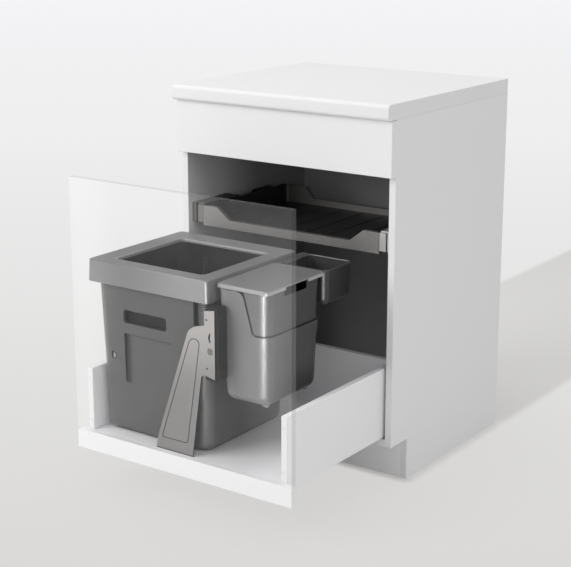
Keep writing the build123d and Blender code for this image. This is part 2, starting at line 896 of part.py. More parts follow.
# The J-shaped rail: a tall web, a floor and a lip that the two containers hook over.
rail_bottom_z = bracket_top - heel_top_drop - rail_height
lip_top = rail_bottom_z + rail_lip_height
lip_left = hook_left + hook_sheet + slide_play
lip_right = lip_left + rail_sheet
rail_outline = corners(
    (rail_left, rail_bottom_z),
    (lip_right, rail_bottom_z),
    (lip_right, lip_top),
    (lip_left, lip_top),
    (lip_left, rail_bottom_z + rail_sheet),
    (rail_left + rail_sheet, rail_bottom_z + rail_sheet),
    (rail_left + rail_sheet, rail_bottom_z + rail_height),
    (rail_left, rail_bottom_z + rail_height),
)
rail_length = caddy_front_space + caddy_length + small_box_gap + small_box_length - rail_back_space
keep("caddy_rail", from_front(rail_outline, bracket_back, rail_length))

# ---- Caddy ----
row_right = row_left + row_width
caddy_front = panel_back + caddy_front_space
caddy_back = caddy_front + caddy_length
lid_area = (row_left, row_right, caddy_front, caddy_back)
caddy_mouth = grown(
    lid_area, -caddy_inside_lid, -caddy_inside_lid / 2, -caddy_inside_lid / 2, -caddy_inside_lid
)
caddy_foot = grown(
    caddy_mouth, -caddy_lean_left, -caddy_lean_front, -caddy_lean_front, -caddy_lean_back
)
caddy_low = row_top - caddy_height
lid_under = row_top - lid_sheet
holder_top = row_top - lid_skirt - 2


def caddy_shape(low, inset):
    """The caddy's tapered form, set in by a wall and a clearance."""
    form = tub(caddy_foot, caddy_mouth, low, lid_under - rest_gap, caddy_corner, inset)
    return round_foot(form, caddy_foot_round - inset)


cut_z = row_top - caddy_cut_drop
beyond = 60.0
holder_body = caddy_shape(caddy_low, 0)
band_area = grown(
    caddy_mouth,
    caddy_band_step - caddy_lean_left * 0.65,
    caddy_band_step,
    caddy_band_step,
    caddy_band_step - caddy_lean_back * 0.4,
)
band = tub(band_area, band_area, cut_z - caddy_band, cut_z, caddy_corner + caddy_band_step)
cut_foot = row_left + 94
band -= block(
    row_left - beyond, cut_foot - 9, caddy_front - beyond, caddy_back + beyond, caddy_low, row_top
)
holder = holder_body + band - caddy_shape(caddy_low + caddy_wall, caddy_wall)

# The side away from the big bin is cut down low, so that the bucket can be gripped and lifted.
brow_point = (cut_foot - 25, holder_top - 3)
cut_outline = corners(
    (cut_foot - 42, row_top + beyond),
    (cut_foot - 42, holder_top),
    brow_point,
    (cut_foot, cut_z),
    (row_right + beyond, cut_z),
    (row_right + beyond, row_top + beyond),
)
knee = cut_outline.vertices().sort_by_distance((cut_foot, cut_z))[0]
cut_outline = fillet(knee, 9)
brow = cut_outline.vertices().sort_by_distance(brow_point)[0]
cut_outline = fillet(brow, 12)
holder -= from_front(cut_outline, caddy_front - beyond, caddy_length + 2 * beyond)
holder -= block(
    row_left - beyond,
    row_right + beyond,
    caddy_front - beyond,
    caddy_back + beyond,
    holder_top,
    row_top + beyond,
)

# Its hook reaches over the rail's lip.
hook_top = lip_top + slide_play + hook_sheet


def rail_hook(front, back, reach, top):
    """A hook over the rail's lip: a leg inside the channel and a bridge above the lip."""
    leg_low = lip_top - hook_depth
    hook = block(hook_left, hook_left + hook_sheet, front, back, leg_low, top)
    return hook + block(hook_left, reach, front, back, hook_top - hook_sheet, hook_top)


hook_reach = caddy_mouth[0] + caddy_lean_left * (row_top - hook_top) / caddy_height + caddy_wall / 2
hook_end_space = 26.0
holder += rail_hook(
    caddy_front + hook_end_space, caddy_back - hook_end_space - caddy_corner, hook_reach, hook_top
)
keep("caddy_holder", holder)

bucket_inset = caddy_wall + bucket_play
bucket = caddy_shape(caddy_low + caddy_wall + rest_gap, bucket_inset)
bucket -= caddy_shape(caddy_low + 2 * caddy_wall + rest_gap, bucket_inset + caddy_wall)
bucket_grip = Pos(
    (caddy_front + caddy_back) / 2, row_top - bucket_grip_drop - bucket_grip_height / 2
) * RectangleRounded(bucket_grip_length, bucket_grip_height, 3)
bucket -= from_side(bucket_grip, row_right - beyond / 2, beyond)
keep("caddy_bucket", bucket)

lid = tub(lid_area, lid_area, row_top - lid_skirt, row_top, lid_corner)
lid = fillet(lid.edges().group_by(Axis.Z)[-1], lid_sheet * 0.4)
lid_inside = tub(lid_area, lid_area, row_top - lid_skirt, lid_under, lid_corner, lid_sheet * 0.6)
# Its skirt is cut away over the bucket's grip.
finger_room = bucket_grip_length + 2 * slide_play
finger_front = (caddy_front + caddy_back - finger_room) / 2
finger_notch = block(
    row_right - lid_corner / 2,
    row_right,
    finger_front,
    finger_front + finger_room,
    row_top - lid_skirt,
    lid_under,
)
keep("caddy_lid", lid - lid_inside - finger_notch)

# ---- Small open box ----
box_front = caddy_back + small_box_gap
box_back = box_front + small_box_length
box_area = (row_left + small_box_flange, row_right, box_front, box_back)
box_low = row_top - small_box_height
box_lean = small_box_height * tan(radians(small_box_draft))
box_foot = grown(box_area, -box_lean, -box_lean, -box_lean, -box_lean)
small_box = tub(box_foot, box_area, box_low, row_top, small_box_corner)
small_box = round_foot(small_box, small_box_foot_round)
box_hollow = tub(
    box_foot, box_area, box_low + small_box_wall, row_top, small_box_corner, small_box_wall
)
flange_area = (row_left, row_right, box_front, box_back)
flange = tub(flange_area, flange_area, row_top - small_box_wall, row_top, small_box_corner * 0.6)
small_box = small_box + flange - round_foot(box_hollow, small_box_foot_round - small_box_wall)
box_hook_space = 14.0
box_hook_front = box_front + box_hook_space
box_hook_back = box_back - box_hook_space
bridge_right = row_left + small_box_flange / 3
bridge_low = row_top - small_box_wall
small_box += rail_hook(box_hook_front, box_hook_back, hook_left + hook_sheet, row_top)
small_box += block(hook_left, bridge_right, box_hook_front, box_hook_back, bridge_low, row_top)
keep("small_box", small_box)

# ---- Upper tray ----
tray_back = tray_front + tray_depth
tray_top = tray_base + tray_wall_height
tray_inner = tray_half_width - tray_wall
side_front = tray_front + rim_sheet
side_back = tray_back - rim_sheet
side_top = tray_top - 1
side_panel_margin = 4.0
side_panel_sink = 3.0
tray_side = block(tray_inner, tray_half_width, side_front, side_back, tray_base, side_top)
tray_side -= block(
    tray_inner,
    tray_inner + side_panel_sink,
    side_front + rim_lip,
    side_back - rim_lip,
    tray_base + tray_floor_thickness + side_panel_margin,
    side_top - side_panel_margin,
)
keep_pair("tray_side", tray_side)

floor_rib_half = 4.0
floor_rib_height = 1.0
tray_floor_top = tray_base + tray_floor_thickness
tray_floor = block(-tray_inner, tray_inner, side_front, side_back, tray_base, tray_floor_top)
for x in spread(-tray_inner * 0.75, tray_inner * 0.75, 7):
    tray_floor += block(
        x - floor_rib_half,
        x + floor_rib_half,
        side_front + rim_lip,
        side_back - rim_lip,
        tray_floor_top,
        tray_floor_top + floor_rib_height,
    )
keep("tray_floor", tray_floor)


def rim_outline(half, low_half, slope, drop):
    """A rim seen from the front: two raised corners and a lowered middle."""
    raised = tray_top - drop
    lowered = tray_top - rim_dip - drop
    return corners(
        (-half, tray_base),
        (half, tray_base),
        (half, raised),
        (low_half + slope, raised),
        (low_half, lowered),
        (-low_half, lowered),
        (-low_half - slope, raised),
        (-half, raised),
    )


def folded_rim(half, low_half, slope):
    """Folded sheet: an upright face and a lip turned back along its top edge."""
    face = from_front(rim_outline(half, low_half, slope, 0), tray_front, rim_sheet)
    fold_depth = rim_lip - rim_sheet
    fold = from_front(rim_outline(half, low_half, slope, 0), side_front, fold_depth)
    fold -= from_front(rim_outline(half, low_half, slope, rim_sheet), side_front, fold_depth)
    between_sides = block(
        -tray_inner, tray_inner, side_front, tray_front + rim_lip, tray_base, tray_top
    )
    return face + (fold & between_sides)


front_rim_low = tray_half_width - rim_low_inset
keep("tray_front_rim", folded_rim(tray_half_width, front_rim_low, rim_slope))
tray_middle = Plane((0, (tray_front + tray_back) / 2, 0), (1, 0, 0), (0, 1, 0))
back_rim_half = tray_half_width - back_rim_inset
back_rim_low = back_rim_half - back_rim_low_inset
back_rim = folded_rim(back_rim_half, back_rim_low, back_rim_slope)
keep("tray_back_rim", mirror(back_rim, about=tray_middle))

# ---- Tray slides ----
# Three nested channels lie on edge between the tray's side wall and the spacers on the cabinet.
slide_left = tray_half_width
slide_right = slide_left + slide_width
slide_mid_z = tray_base + slide_height / 2 + 8
slide_low = slide_mid_z - slide_height / 2
slide_top = slide_mid_z + slide_height / 2


def channel(web_left, web_right, mouth, bottom, top, sheet):
    """A C-shaped section: its web between two X places, its two flanges out to the mouth."""
    hollow_left = min(web_right, mouth)
    hollow_right = max(web_left, mouth)
    outer_low = min(web_left, mouth)
    outer_high = max(web_right, mouth)
    middle = (bottom + top) / 2
    height = top - bottom
    outside = Rectangle(outer_high - outer_low, height)
    inside = Rectangle(hollow_right - hollow_left, height - 2 * sheet)
    inside_x = (hollow_left + hollow_right) / 2
    return Pos((outer_low + outer_high) / 2, middle) * outside - Pos(inside_x, middle) * inside


cabinet_web = slide_right - slide_sheet
cabinet_mouth = slide_left + 4.5
tray_mouth = slide_left + 7.5
web_play = 0.8
cabinet_slide = from_front(
    channel(cabinet_web, slide_right, cabinet_mouth, slide_low, slide_top, slide_sheet),
    slide_setback,
    slide_length,
)
keep_pair("tray_slide_cabinet", cabinet_slide)
nest = slide_sheet + slide_gap
middle_web_right = cabinet_web - web_play
middle_stop = 12.0
slide_lead = 8.0
middle_slide = from_front(
    channel(
        middle_web_right - slide_sheet,
        middle_web_right,
        middle_web_right - slide_middle_depth,
        slide_low + nest,
        slide_top - nest,
        slide_sheet,
    ),
    slide_setback,
    slide_length - middle_stop,
)
keep_pair("tray_slide_middle", middle_slide)
tray_slide = from_front(
    channel(
        slide_left,
        slide_left + slide_sheet,
        tray_mouth,
        slide_low + 2 * nest,
        slide_top - 2 * nest,
        slide_sheet,
    ),
    slide_setback - slide_lead,
    slide_length,
)
keep_pair("tray_slide_tray", tray_slide)

slide_roller = slide_gap / 2 - slide_play
outer_track = slide_sheet + slide_gap / 2
inner_track = outer_track + nest


def slide_strip(left, right, z, first):
    """A cage strip with rollers that lie across a flange track."""
    length = roller_pitch * (rollers_per_strip - 1)
    middle = (left + right) / 2
    half = cage_sheet / 2
    strip = block(middle - cage_half, middle + cage_half, first, first + length, z - half, z + half)
    for turn in range(rollers_per_strip):
        strip += rod_x(left, right, first + roller_pitch * turn, z, slide_roller)
    return strip


outer_strip = (cabinet_mouth + slide_play, middle_web_right - roller_end_play)
inner_strip = (middle_web_right - slide_middle_depth + slide_play, tray_mouth - slide_play)
slide_strips = []
for z in (slide_low + outer_track, slide_top - outer_track):
    slide_strips.append(slide_strip(*outer_strip, z, slide_setback + slide_length / 2))
for z in (slide_low + inner_track, slide_top - inner_track):
    slide_strips.append(slide_strip(*inner_strip, z, slide_setback + slide_lead))
keep_group("tray_slide_rollers_right", slide_strips)
keep_group("tray_slide_rollers_left", [mirror(strip, about=Plane.YZ) for strip in slide_strips])

# ---- Spacers on the cabinet sides, their metal covers and the tray's end caps ----
cover_sheet = 3.5
strip_depth = 7.0
cover_low = tray_base + 7
spacer_low = tray_base + 4
spacer_top = tray_top
cover_top = tray_top + cover_sheet
spacer_left = slide_right
cover_front = tray_front + strip_depth
cover_back = tray_front + cover_length
bridge_inset = 2.0
front_spacer = block(
    spacer_left, inner_half, spacer_fronts[0], spacer_backs[0], spacer_low, spacer_top
)
front_spacer += block(
    spacer_left, inner_half, cover_back, spacer_backs[0], spacer_low, cover_top
)
front_spacer += block(
    tray_inner + bridge_inset,
    spacer_left,
    cover_back,
    spacer_backs[0],
    tray_top + slide_play,
    cover_top,
)
back_spacer = block(
    spacer_left, inner_half, spacer_fronts[1], spacer_backs[1], spacer_low, slide_top
)
spacers = [front_spacer, back_spacer]
tray_screws = []
sink = 6.0
for y in spacer_screws:
    hole = rod_x(spacer_left, inner_half, y, spacer_z, panel_bore)
    hole += rod_x(spacer_left, spacer_left + sink, y, spacer_z, screw_head_radius + screw_play)
    spacers = [spacer - hole for spacer in spacers]
    head_left = spacer_left + sink - screw_head_height
    tip = inner_half + panel_screw_depth - screw_play
    shank = rod_x(head_left, tip, y, spacer_z, screw_radius)
    head = rod_x(head_left, spacer_left + sink, y, spacer_z, screw_head_radius)
    tray_screws.append(shank + head)
keep_group("tray_spacers_right", spacers)
keep_group("tray_spacers_left", [mirror(spacer, about=Plane.YZ) for spacer in spacers])
keep_group("tray_screws", tray_screws + [mirror(screw, about=Plane.YZ) for screw in tray_screws])

cover = block(slide_left + 1, inner_half, cover_front, cover_back, spacer_top, cover_top)
cover = fillet(cover.edges().filter_by(Axis.Y).group_by(Axis.X)[0].group_by(Axis.Z)[-1], 1.5)
strip_left = inner_half - cover_strip
cover += block(strip_left, inner_half, tray_front, cover_front, cover_low, cover_top)
cover += block(strip_left, inner_half, cover_front, spacer_fronts[0], cover_low, spacer_top)
keep_pair("tray_cover", cover)

cap_left = tray_half_width
cap_depth = 5.0
cap_back = tray_front + cap_depth
cap = block(cap_left, cap_left + cap_width, tray_front, cap_back, cover_low, tray_top)
cap = fillet(cap.edges().filter_by(Axis.Z).group_by(Axis.Y)[0], 2)
cap += block(
    cap_left,
    cap_left + slide_sheet + cap_depth,
    cap_back,
    slide_setback - slide_lead,
    slide_low + 2 * nest,
    slide_top - 2 * nest,
)
keep_pair("tray_end_cap", cap)
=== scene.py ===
import math

import bmesh
import bpy
from mathutils import Matrix, Vector


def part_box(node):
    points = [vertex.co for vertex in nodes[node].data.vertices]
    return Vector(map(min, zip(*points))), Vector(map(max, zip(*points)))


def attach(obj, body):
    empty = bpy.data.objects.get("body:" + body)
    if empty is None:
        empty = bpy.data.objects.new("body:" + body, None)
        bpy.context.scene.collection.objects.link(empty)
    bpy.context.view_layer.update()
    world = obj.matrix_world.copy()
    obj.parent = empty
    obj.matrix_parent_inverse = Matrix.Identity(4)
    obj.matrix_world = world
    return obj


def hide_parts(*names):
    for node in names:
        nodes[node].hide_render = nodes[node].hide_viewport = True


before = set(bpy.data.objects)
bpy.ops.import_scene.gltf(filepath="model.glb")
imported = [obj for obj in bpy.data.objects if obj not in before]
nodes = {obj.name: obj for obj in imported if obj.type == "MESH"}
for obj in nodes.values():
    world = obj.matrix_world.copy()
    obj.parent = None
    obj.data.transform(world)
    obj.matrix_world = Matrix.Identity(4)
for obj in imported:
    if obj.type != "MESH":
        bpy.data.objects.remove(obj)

scene = bpy.context.scene
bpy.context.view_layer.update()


# ---- Camera ----
# The cabinet is seen from its front right corner and from a little above the worktop, with a long
# lens, so that the top, the right side and the inside of the drawer all show.
camera_place = Vector((1.870, -2.694, 1.330))
camera_turn = 0.6169
camera_tilt = 0.2522
camera_lens = 89.95
camera_lift = -0.04
camera = bpy.data.objects.new("camera", bpy.data.cameras.new("camera"))
scene.collection.objects.link(camera)
camera.location = camera_place
camera.rotation_euler = (math.pi / 2 - camera_tilt, 0, camera_turn)
camera.data.lens = camera_lens
camera.data.sensor_width = 36
camera.data.shift_y = camera_lift
camera.data.clip_end = 60
scene.camera = camera


# ---- Floor ----
# A plain pale studio floor that takes a soft shadow near the cabinet. Further out it glows evenly
# and turns paler with the distance, as the sweep of a studio backdrop does. It is darkest where the
# cabinet meets it.
class Value:
    """A shader socket that takes part in sums written in plain Python."""

    def __init__(self, finish, socket):
        self.finish = finish
        self.socket = socket

    def math(self, operation, first, second):
        return self.finish.node("ShaderNodeMath", {"operation": operation}, {0: first, 1: second})

    def __add__(self, other):
        return self.math("ADD", self, other)

    __radd__ = __add__

    def __sub__(self, other):
        return self.math("SUBTRACT", self, other)

    def __rsub__(self, other):
        return self.math("SUBTRACT", other, self)

    def __mul__(self, other):
        return self.math("MULTIPLY", self, other)

    __rmul__ = __mul__

    def __truediv__(self, other):
        return self.math("DIVIDE", self, other)

    def __gt__(self, other):
        return self.math("GREATER_THAN", self, other)

    def __lt__(self, other):
        return self.math("LESS_THAN", self, other)

    def __pow__(self, other):
        return self.math("POWER", self, other)

    def __abs__(self):
        return self.math("ABSOLUTE", self, 0)

    def at_least(self, other):
        return self.math("MAXIMUM", self, other)

    def at_most(self, other):
        return self.math("MINIMUM", self, other)


class Finish:
    """A material: plain values stay on its shader's own sockets, patterns come from node()."""

    def __init__(self, name, **plain):
        self.material = bpy.data.materials.new(name)
        self.material.use_nodes = True
        self.tree = self.material.node_tree
        self.shader = self.tree.nodes["Principled BSDF"]
        for socket, value in plain.items():
            self.plug(self.shader.inputs[socket.replace("_", " ")], value)

    def plug(self, socket, value):
        if isinstance(value, Value):
            self.tree.links.new(value.socket, socket)
        elif socket.type == "RGBA" and len(value) == 3:
            socket.default_value = (*value, 1)
        else:
            socket.default_value = value

    def node(self, kind, settings, sockets, result=0):
        """One node: its settings first, then the values or links of its sockets."""
        made = self.tree.nodes.new(kind)
        for name, setting in settings.items():
            if name == "stops":
                ramp = made.color_ramp.elements
                while len(ramp) < len(setting):
                    ramp.new(1)
                for stop, (place, colour) in zip(ramp, setting):
                    stop.position = place
                    stop.color = (*colour, 1)
            else:
                setattr(made, name, setting)
        for socket, value in sockets.items():
            self.plug(made.inputs[socket], value)
        return Value(self, made.outputs[result])

    def place(self):
        """Object coordinates, which are metres from the cabinet's origin."""
        return self.node("ShaderNodeTexCoord", {}, {}, "Object")

    def axis(self, letter):
        """One coordinate of the place."""
        return self.node("ShaderNodeSeparateXYZ", {}, {0: self.place()}, letter)

    def noise(self, scale, detail=3, stretch=(1, 1, 1)):
        """Noise with so many waves to the metre, drawn out along an axis by stretch."""
        turned = self.node("ShaderNodeMapping", {}, {"Vector": self.place(), "Scale": stretch})
        return self.node("ShaderNodeTexNoise", {}, {"Vector": turned, "Scale": scale, "Detail": detail})

    def step(self, value, low, high):
        """A smooth step of a value, from 0 at low to 1 at high."""
        smooth = {"interpolation_type": "SMOOTHSTEP"}
        ends = {"Value": value, "From Min": low, "From Max": high}
        return self.node("ShaderNodeMapRange", smooth, ends)

    def mix(self, factor, first, second):
        """A colour between two colours."""
        return self.node("ShaderNodeMix", {"data_type": "RGBA"}, {0: factor, 6: first, 7: second}, 2)

    def bump(self, height, distance, strength=1.0):
        """Relief on the surface, its height in metres."""
        sockets = {"Height": height, "Distance": distance, "Strength": strength}
        relief = self.node("ShaderNodeBump", {}, sockets)
        self.plug(self.shader.inputs["Normal"], relief)

    def put(self, socket, value):
        self.plug(self.shader.inputs[socket], value)


def shift(colour, amount):
    """A colour made lighter or darker by a share."""
    return tuple(channel * (1 + amount) for channel in colour)


floor_reach = 30.0
floor_near = (0.70, 0.693, 0.68)
floor_stops = (
    (0.0, floor_near),
    (0.13, (0.785, 0.785, 0.78)),
    (0.35, (0.86, 0.86, 0.865)),
    (1.0, (0.905, 0.905, 0.925)),
)
shadow_reach = 0.45
glow_reach = 1.0
glow_least = 0.84
contact_reach = 0.035
contact_least = 0.3
tone_before = 0.6
tone_span = 15

floor_mesh = bmesh.new()
bmesh.ops.create_grid(floor_mesh, x_segments=8, y_segments=8, size=floor_reach)
floor_data = bpy.data.meshes.new("floor")
floor_mesh.to_mesh(floor_data)
floor_mesh.free()
floor = bpy.data.objects.new("floor", floor_data)
scene.collection.objects.link(floor)

floor_finish = Finish("studio_floor", Roughness=0.9, Specular_IOR_Level=0.0)
along_y = floor_finish.axis("Y") * math.cos(camera_turn)
along_x = floor_finish.axis("X") * math.sin(camera_turn)
away = along_y - along_x
tone_place = (away + tone_before) / tone_span
tone = floor_finish.node("ShaderNodeValToRGB", {"stops": floor_stops}, {0: tone_place})
floor_finish.put("Base Color", shift(floor_near, 0.1))
glow = floor_finish.node("ShaderNodeEmission", {}, {"Color": tone, "Strength": 1.0})
distance = floor_finish.node(
    "ShaderNodeVectorMath",
    {"operation": "LENGTH"},
    {0: floor_finish.place()},
    "Value",
)
seen = floor_finish.node("ShaderNodeLightPath", {}, {}, "Is Camera Ray")
glow_more = floor_finish.step(distance, shadow_reach, glow_reach) * (1 - glow_least)
plinth_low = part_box("plinth_board")[0]
side_low, side_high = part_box("side_panel_right")
beside_x = (abs(floor_finish.axis("X")) - side_high.x).at_least(0)
before_y = (plinth_low.y - floor_finish.axis("Y")).at_least(0)
from_foot = (beside_x**2 + before_y**2) ** 0.5
clear_of_foot = floor_finish.step(from_foot, 0, contact_reach)
contact = clear_of_foot * (1 - contact_least) + contact_least
glow_share = (glow_more + glow_least) * contact * seen
surface = floor_finish.node(
    "ShaderNodeMixShader",
    {},
    {0: glow_share, 1: Value(floor_finish, floor_finish.shader.outputs[0]), 2: glow},
)
floor_output = floor_finish.tree.nodes["Material Output"]
floor_finish.plug(floor_output.inputs["Surface"], surface)
floor.data.materials.append(floor_finish.material)


# ---- Studio light ----
# Soft light comes from all round, helped by a large softbox at the front left and weaker ones at
# the right and above. A small one stands low before the drawer. Only the containers mirror it, and
# it draws the bright lines down their round corners.
world = bpy.data.worlds.new("studio")
scene.world = world
world.use_nodes = True


class Surround(Finish):
    """The world's nodes, made in the same way as those of a material."""

    def __init__(self, tree):
        self.tree = tree
        self.shader = tree.nodes["Background"]


surround_strength = 0.6
surround = Surround(world.node_tree)
surround.put("Color", (1.0, 1.0, 1.0))
surround.put("Strength", surround_strength)
sky_seen = surround.node("ShaderNodeLightPath", {}, {}, "Is Camera Ray")
backdrop = surround.node("ShaderNodeBackground", {}, {"Color": floor_stops[-1][1]})
sky = surround.node(
    "ShaderNodeMixShader",
    {},
    {0: sky_seen, 1: Value(surround, surround.shader.outputs[0]), 2: backdrop},
)
surround.plug(surround.tree.nodes["World Output"].inputs["Surface"], sky)


def softbox(name, place, aim, width, height, power):
    """A rectangular lamp that faces the point it is aimed at."""
    lamp = bpy.data.lights.new(name, "AREA")
    lamp.shape = "RECTANGLE"
    lamp.size = width
    lamp.size_y = height
    lamp.energy = power
    holder = bpy.data.objects.new(name, lamp)
    holder.location = place
    holder.rotation_euler = (Vector(aim) - Vector(place)).to_track_quat("-Z", "Y").to_euler()
    holder.visible_camera = False
    scene.collection.objects.link(holder)
    return holder


softbox("front_left_box", (-1.9, -3.2, 2.4), (0, -0.2, 0.5), 2.4, 2.4, 80)
softbox("right_box", (3.2, -0.7, 1.7), (0, -0.1, 0.5), 1.4, 1.4, 9)
softbox("top_box", (0.0, 0.4, 3.2), (0, 0, 0.8), 1.8, 1.8, 17)
corner_strip = softbox("corner_strip", (0.66, -1.36, 0.33), (0.1, -0.4, 0.33), 0.46, 0.64, 19)
corner_strip.visible_diffuse = False
strip_lit = bpy.data.collections.new("strip_lit")
corner_strip.light_linking.receiver_collection = strip_lit

scene.view_settings.view_transform = "Standard"


# ---- Worktop ----
# A chipboard worktop faced with white laminate that is bent round its front nose. Its other edges
# are banded and only broken a little.
tiny = 0.0005
sharp_angle = math.radians(32)


def from_box(low, high):
    """A closed box between two corners."""
    mesh = bmesh.new()
    span = high - low
    place = Matrix.Translation((low + high) / 2) @ Matrix.Diagonal((span.x, span.y, span.z, 1))
    bmesh.ops.create_cube(mesh, size=1, matrix=place)
    return mesh


def rounded(mesh, edges, radius, segments=6):
    """Rounds edges to a radius."""
    bmesh.ops.bevel(
        mesh,
        geom=edges,
        offset=radius,
        offset_type="OFFSET",
        segments=segments,
        profile=0.5,
        affect="EDGES",
        material=-1,
    )
    return mesh


def both_ends(mesh, test):
    """The edges whose two ends pass a test."""
    return [edge for edge in mesh.edges if all(test(vert.co) for vert in edge.verts)]


def piece(name, body, mesh, finish, broken=0.0008):
    """An object from a mesh, with its sharp edges broken, that rides on a body."""
    bmesh.ops.recalc_face_normals(mesh, faces=mesh.faces)
    data = bpy.data.meshes.new(name)
    mesh.to_mesh(data)
    mesh.free()
    data.shade_smooth()
    data.set_sharp_from_angle(angle=sharp_angle)
    made = bpy.data.objects.new(name, data)
    scene.collection.objects.link(made)
    data.materials.append(finish.material)
    if broken:
        edge = made.modifiers.new("broken_edges", "BEVEL")
        edge.width = broken
        edge.segments = 2
        edge.limit_method = "ANGLE"
        edge.angle_limit = sharp_angle
        edge.harden_normals = True
    even = made.modifiers.new("even_normals", "WEIGHTED_NORMAL")
    even.keep_sharp = True
    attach(made, body)
    return made


def laminate(name, colour, roughness=0.45):
    """Melamine: a faint pearl in the press pattern and slightly uneven gloss."""
    finish = Finish(name, Specular_IOR_Level=0.2)
    cloud = finish.noise(9, 2)
    pearl = finish.noise(1400, 2)
    finish.put("Base Color", finish.mix(cloud, shift(colour, -0.012), shift(colour, 0.012)))
    finish.put("Roughness", roughness + (pearl - 0.5) * 0.08)
    finish.bump(pearl, 0.00004)
    return finish


def coat(finish, *names):
    """Puts a finish on CAD nodes."""
    for name in names:
        slots = nodes[name].data.materials
        slots.clear()
        slots.append(finish.material)


white = (0.85, 0.85, 0.86)
nose_radius = 0.009
top_low, top_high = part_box("worktop")
worktop_mesh = from_box(top_low, top_high)
nose_edges = both_ends(worktop_mesh, lambda at: at.y < top_low.y + tiny)
nose_edges = [edge for edge in nose_edges if abs(edge.verts[0].co.z - edge.verts[1].co.z) < tiny]
rounded(worktop_mesh, nose_edges, nose_radius, 8)
worktop_white = laminate("worktop_white", shift(white, -0.03), 0.62)
worktop = piece("worktop_board", "cabinet", worktop_mesh, worktop_white)
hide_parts("worktop")


# ---- White boards ----
# The side panels, the bottom, the plinth and the fascia are white melamine boards. Behind their
# front edges the insides of the cabinet lie in shade, and that shade is painted: the side panels'
# inner faces turn grey towards the back, and the back panel and rails are painted grey.
board_white = laminate("white_board", white)
coat(board_white, "bottom_panel")
# The plinth is painted a lighter white than the other boards: painted light on a board that stands in
# shade.
coat(laminate("plinth_white_painted_light", (0.93, 0.93, 0.94)), "plinth_board")
fascia_white = laminate("fascia_white", white, 0.4)
coat(fascia_white, "fascia")

# Painted shade: the inner faces of the side panels darken from white at the front to grey at the back.
side_painted_shade = laminate("side_board_painted_shade", white)
inside_face_skin = 0.0004
shade_depth = 1 / 2.2
on_inside = abs(side_painted_shade.axis("X")) < side_low.x + inside_face_skin
depth = side_painted_shade.axis("Y") - side_low.y
shade_stops = (
    (0.0, white),
    (0.30, (0.80, 0.80, 0.81)),
    (0.62, (0.40, 0.40, 0.405)),
    (1.0, (0.32, 0.32, 0.322)),
)
fade = side_painted_shade.node("ShaderNodeValToRGB", {"stops": shade_stops}, {0: depth / shade_depth})
side_painted_shade.put("Base Color", side_painted_shade.mix(on_inside, white, fade))
coat(side_painted_shade, "side_panel_left", "side_panel_right")

# Painted shade: the back panel and the rails inside the carcass are grey for the shade they stand in.
inside_shade_grey = (0.42, 0.42, 0.423)
inside_shade_board = laminate("inside_painted_shade_board", inside_shade_grey, 0.5)
coat(inside_shade_board, "back_panel", "rear_stretcher", "front_stretcher", "fascia_rail")


# ---- Drawer box ----
# The drawer is a box of thinner white boards, with the floor let into grooves. Clear nylon dowels
# hold its corners and its tall front, where beech ones would show through.
drawer_white = laminate("drawer_white", (0.90, 0.90, 0.915))
coat(drawer_white, "drawer_side_left", "drawer_side_right", "drawer_floor", "drawer_back")
beech = Finish("beech_dowel", Roughness=0.6)
beech_grain = beech.noise(260, 3, (0.1, 1, 1))
beech.put("Base Color", beech.mix(beech_grain, (0.55, 0.38, 0.22), (0.68, 0.5, 0.31)))
coat(beech, "carcass_dowels")
nylon = Finish("clear_nylon_dowel", Roughness=0.5, Specular_IOR_Level=0.1)
nylon_cloud = nylon.noise(300, 2)
nylon.put("Base Color", nylon.mix(nylon_cloud, (0.80, 0.80, 0.81), (0.88, 0.88, 0.89)))
nylon_alpha = 0.04
nylon.put("Alpha", nylon_alpha + nylon_cloud * 0.03)
coat(nylon, "drawer_dowels")


# ---- See-through front ----
# The drawer's tall front is a clear panel, so that the bins behind it can be seen. A faint white glow
# is painted into it as painted light, most towards its sides and top, and its right and top edges
# are painted dark as a shadow line. It is backed in white where the drawer's floor and sides are fixed to
# it.
front_low, front_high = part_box("front_panel")
floor_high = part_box("drawer_floor")[1]
side_board_low, side_board_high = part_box("drawer_side_right")
panel_air = 0.0005
panel_back = front_high.y - panel_air
panel_skin = 0.0003
floor_strip_rise = 0.0006
clear_alpha = 0.013
film_alpha = 0.008
backed_alpha = 0.97
side_strip_share = 0.95
rim_alpha = 0.2
panel_glow_least = 0.18
panel_glow_sides = 0.82
panel_glow_top = 0.25

panel_mesh = from_box(front_low, front_high - Vector((0, panel_air, 0)))
see_through = Finish(
    "see_through_front", Roughness=0.3, Specular_IOR_Level=0.15, Emission_Strength=2.0
)
panel_x = see_through.axis("X")
panel_z = see_through.axis("Z")
from_middle = abs(panel_x)
film = see_through.noise(22, 2)
floor_strip = panel_z < floor_high.z + floor_strip_rise
before_board = (from_middle > side_board_low.x) * (from_middle < side_board_high.x)
on_back = see_through.axis("Y") > panel_back - panel_skin
side_strip = before_board * (panel_z < side_board_high.z) * on_back
backed = floor_strip.at_least(side_strip * side_strip_share)
# Painted shadow: the right and top edges of the panel are a dark grey line.
rim_right = panel_x > front_high.x - panel_skin
rim_top = panel_z > front_high.z - panel_skin
rim = (rim_right + rim_top).at_most(1) * (1 - floor_strip)
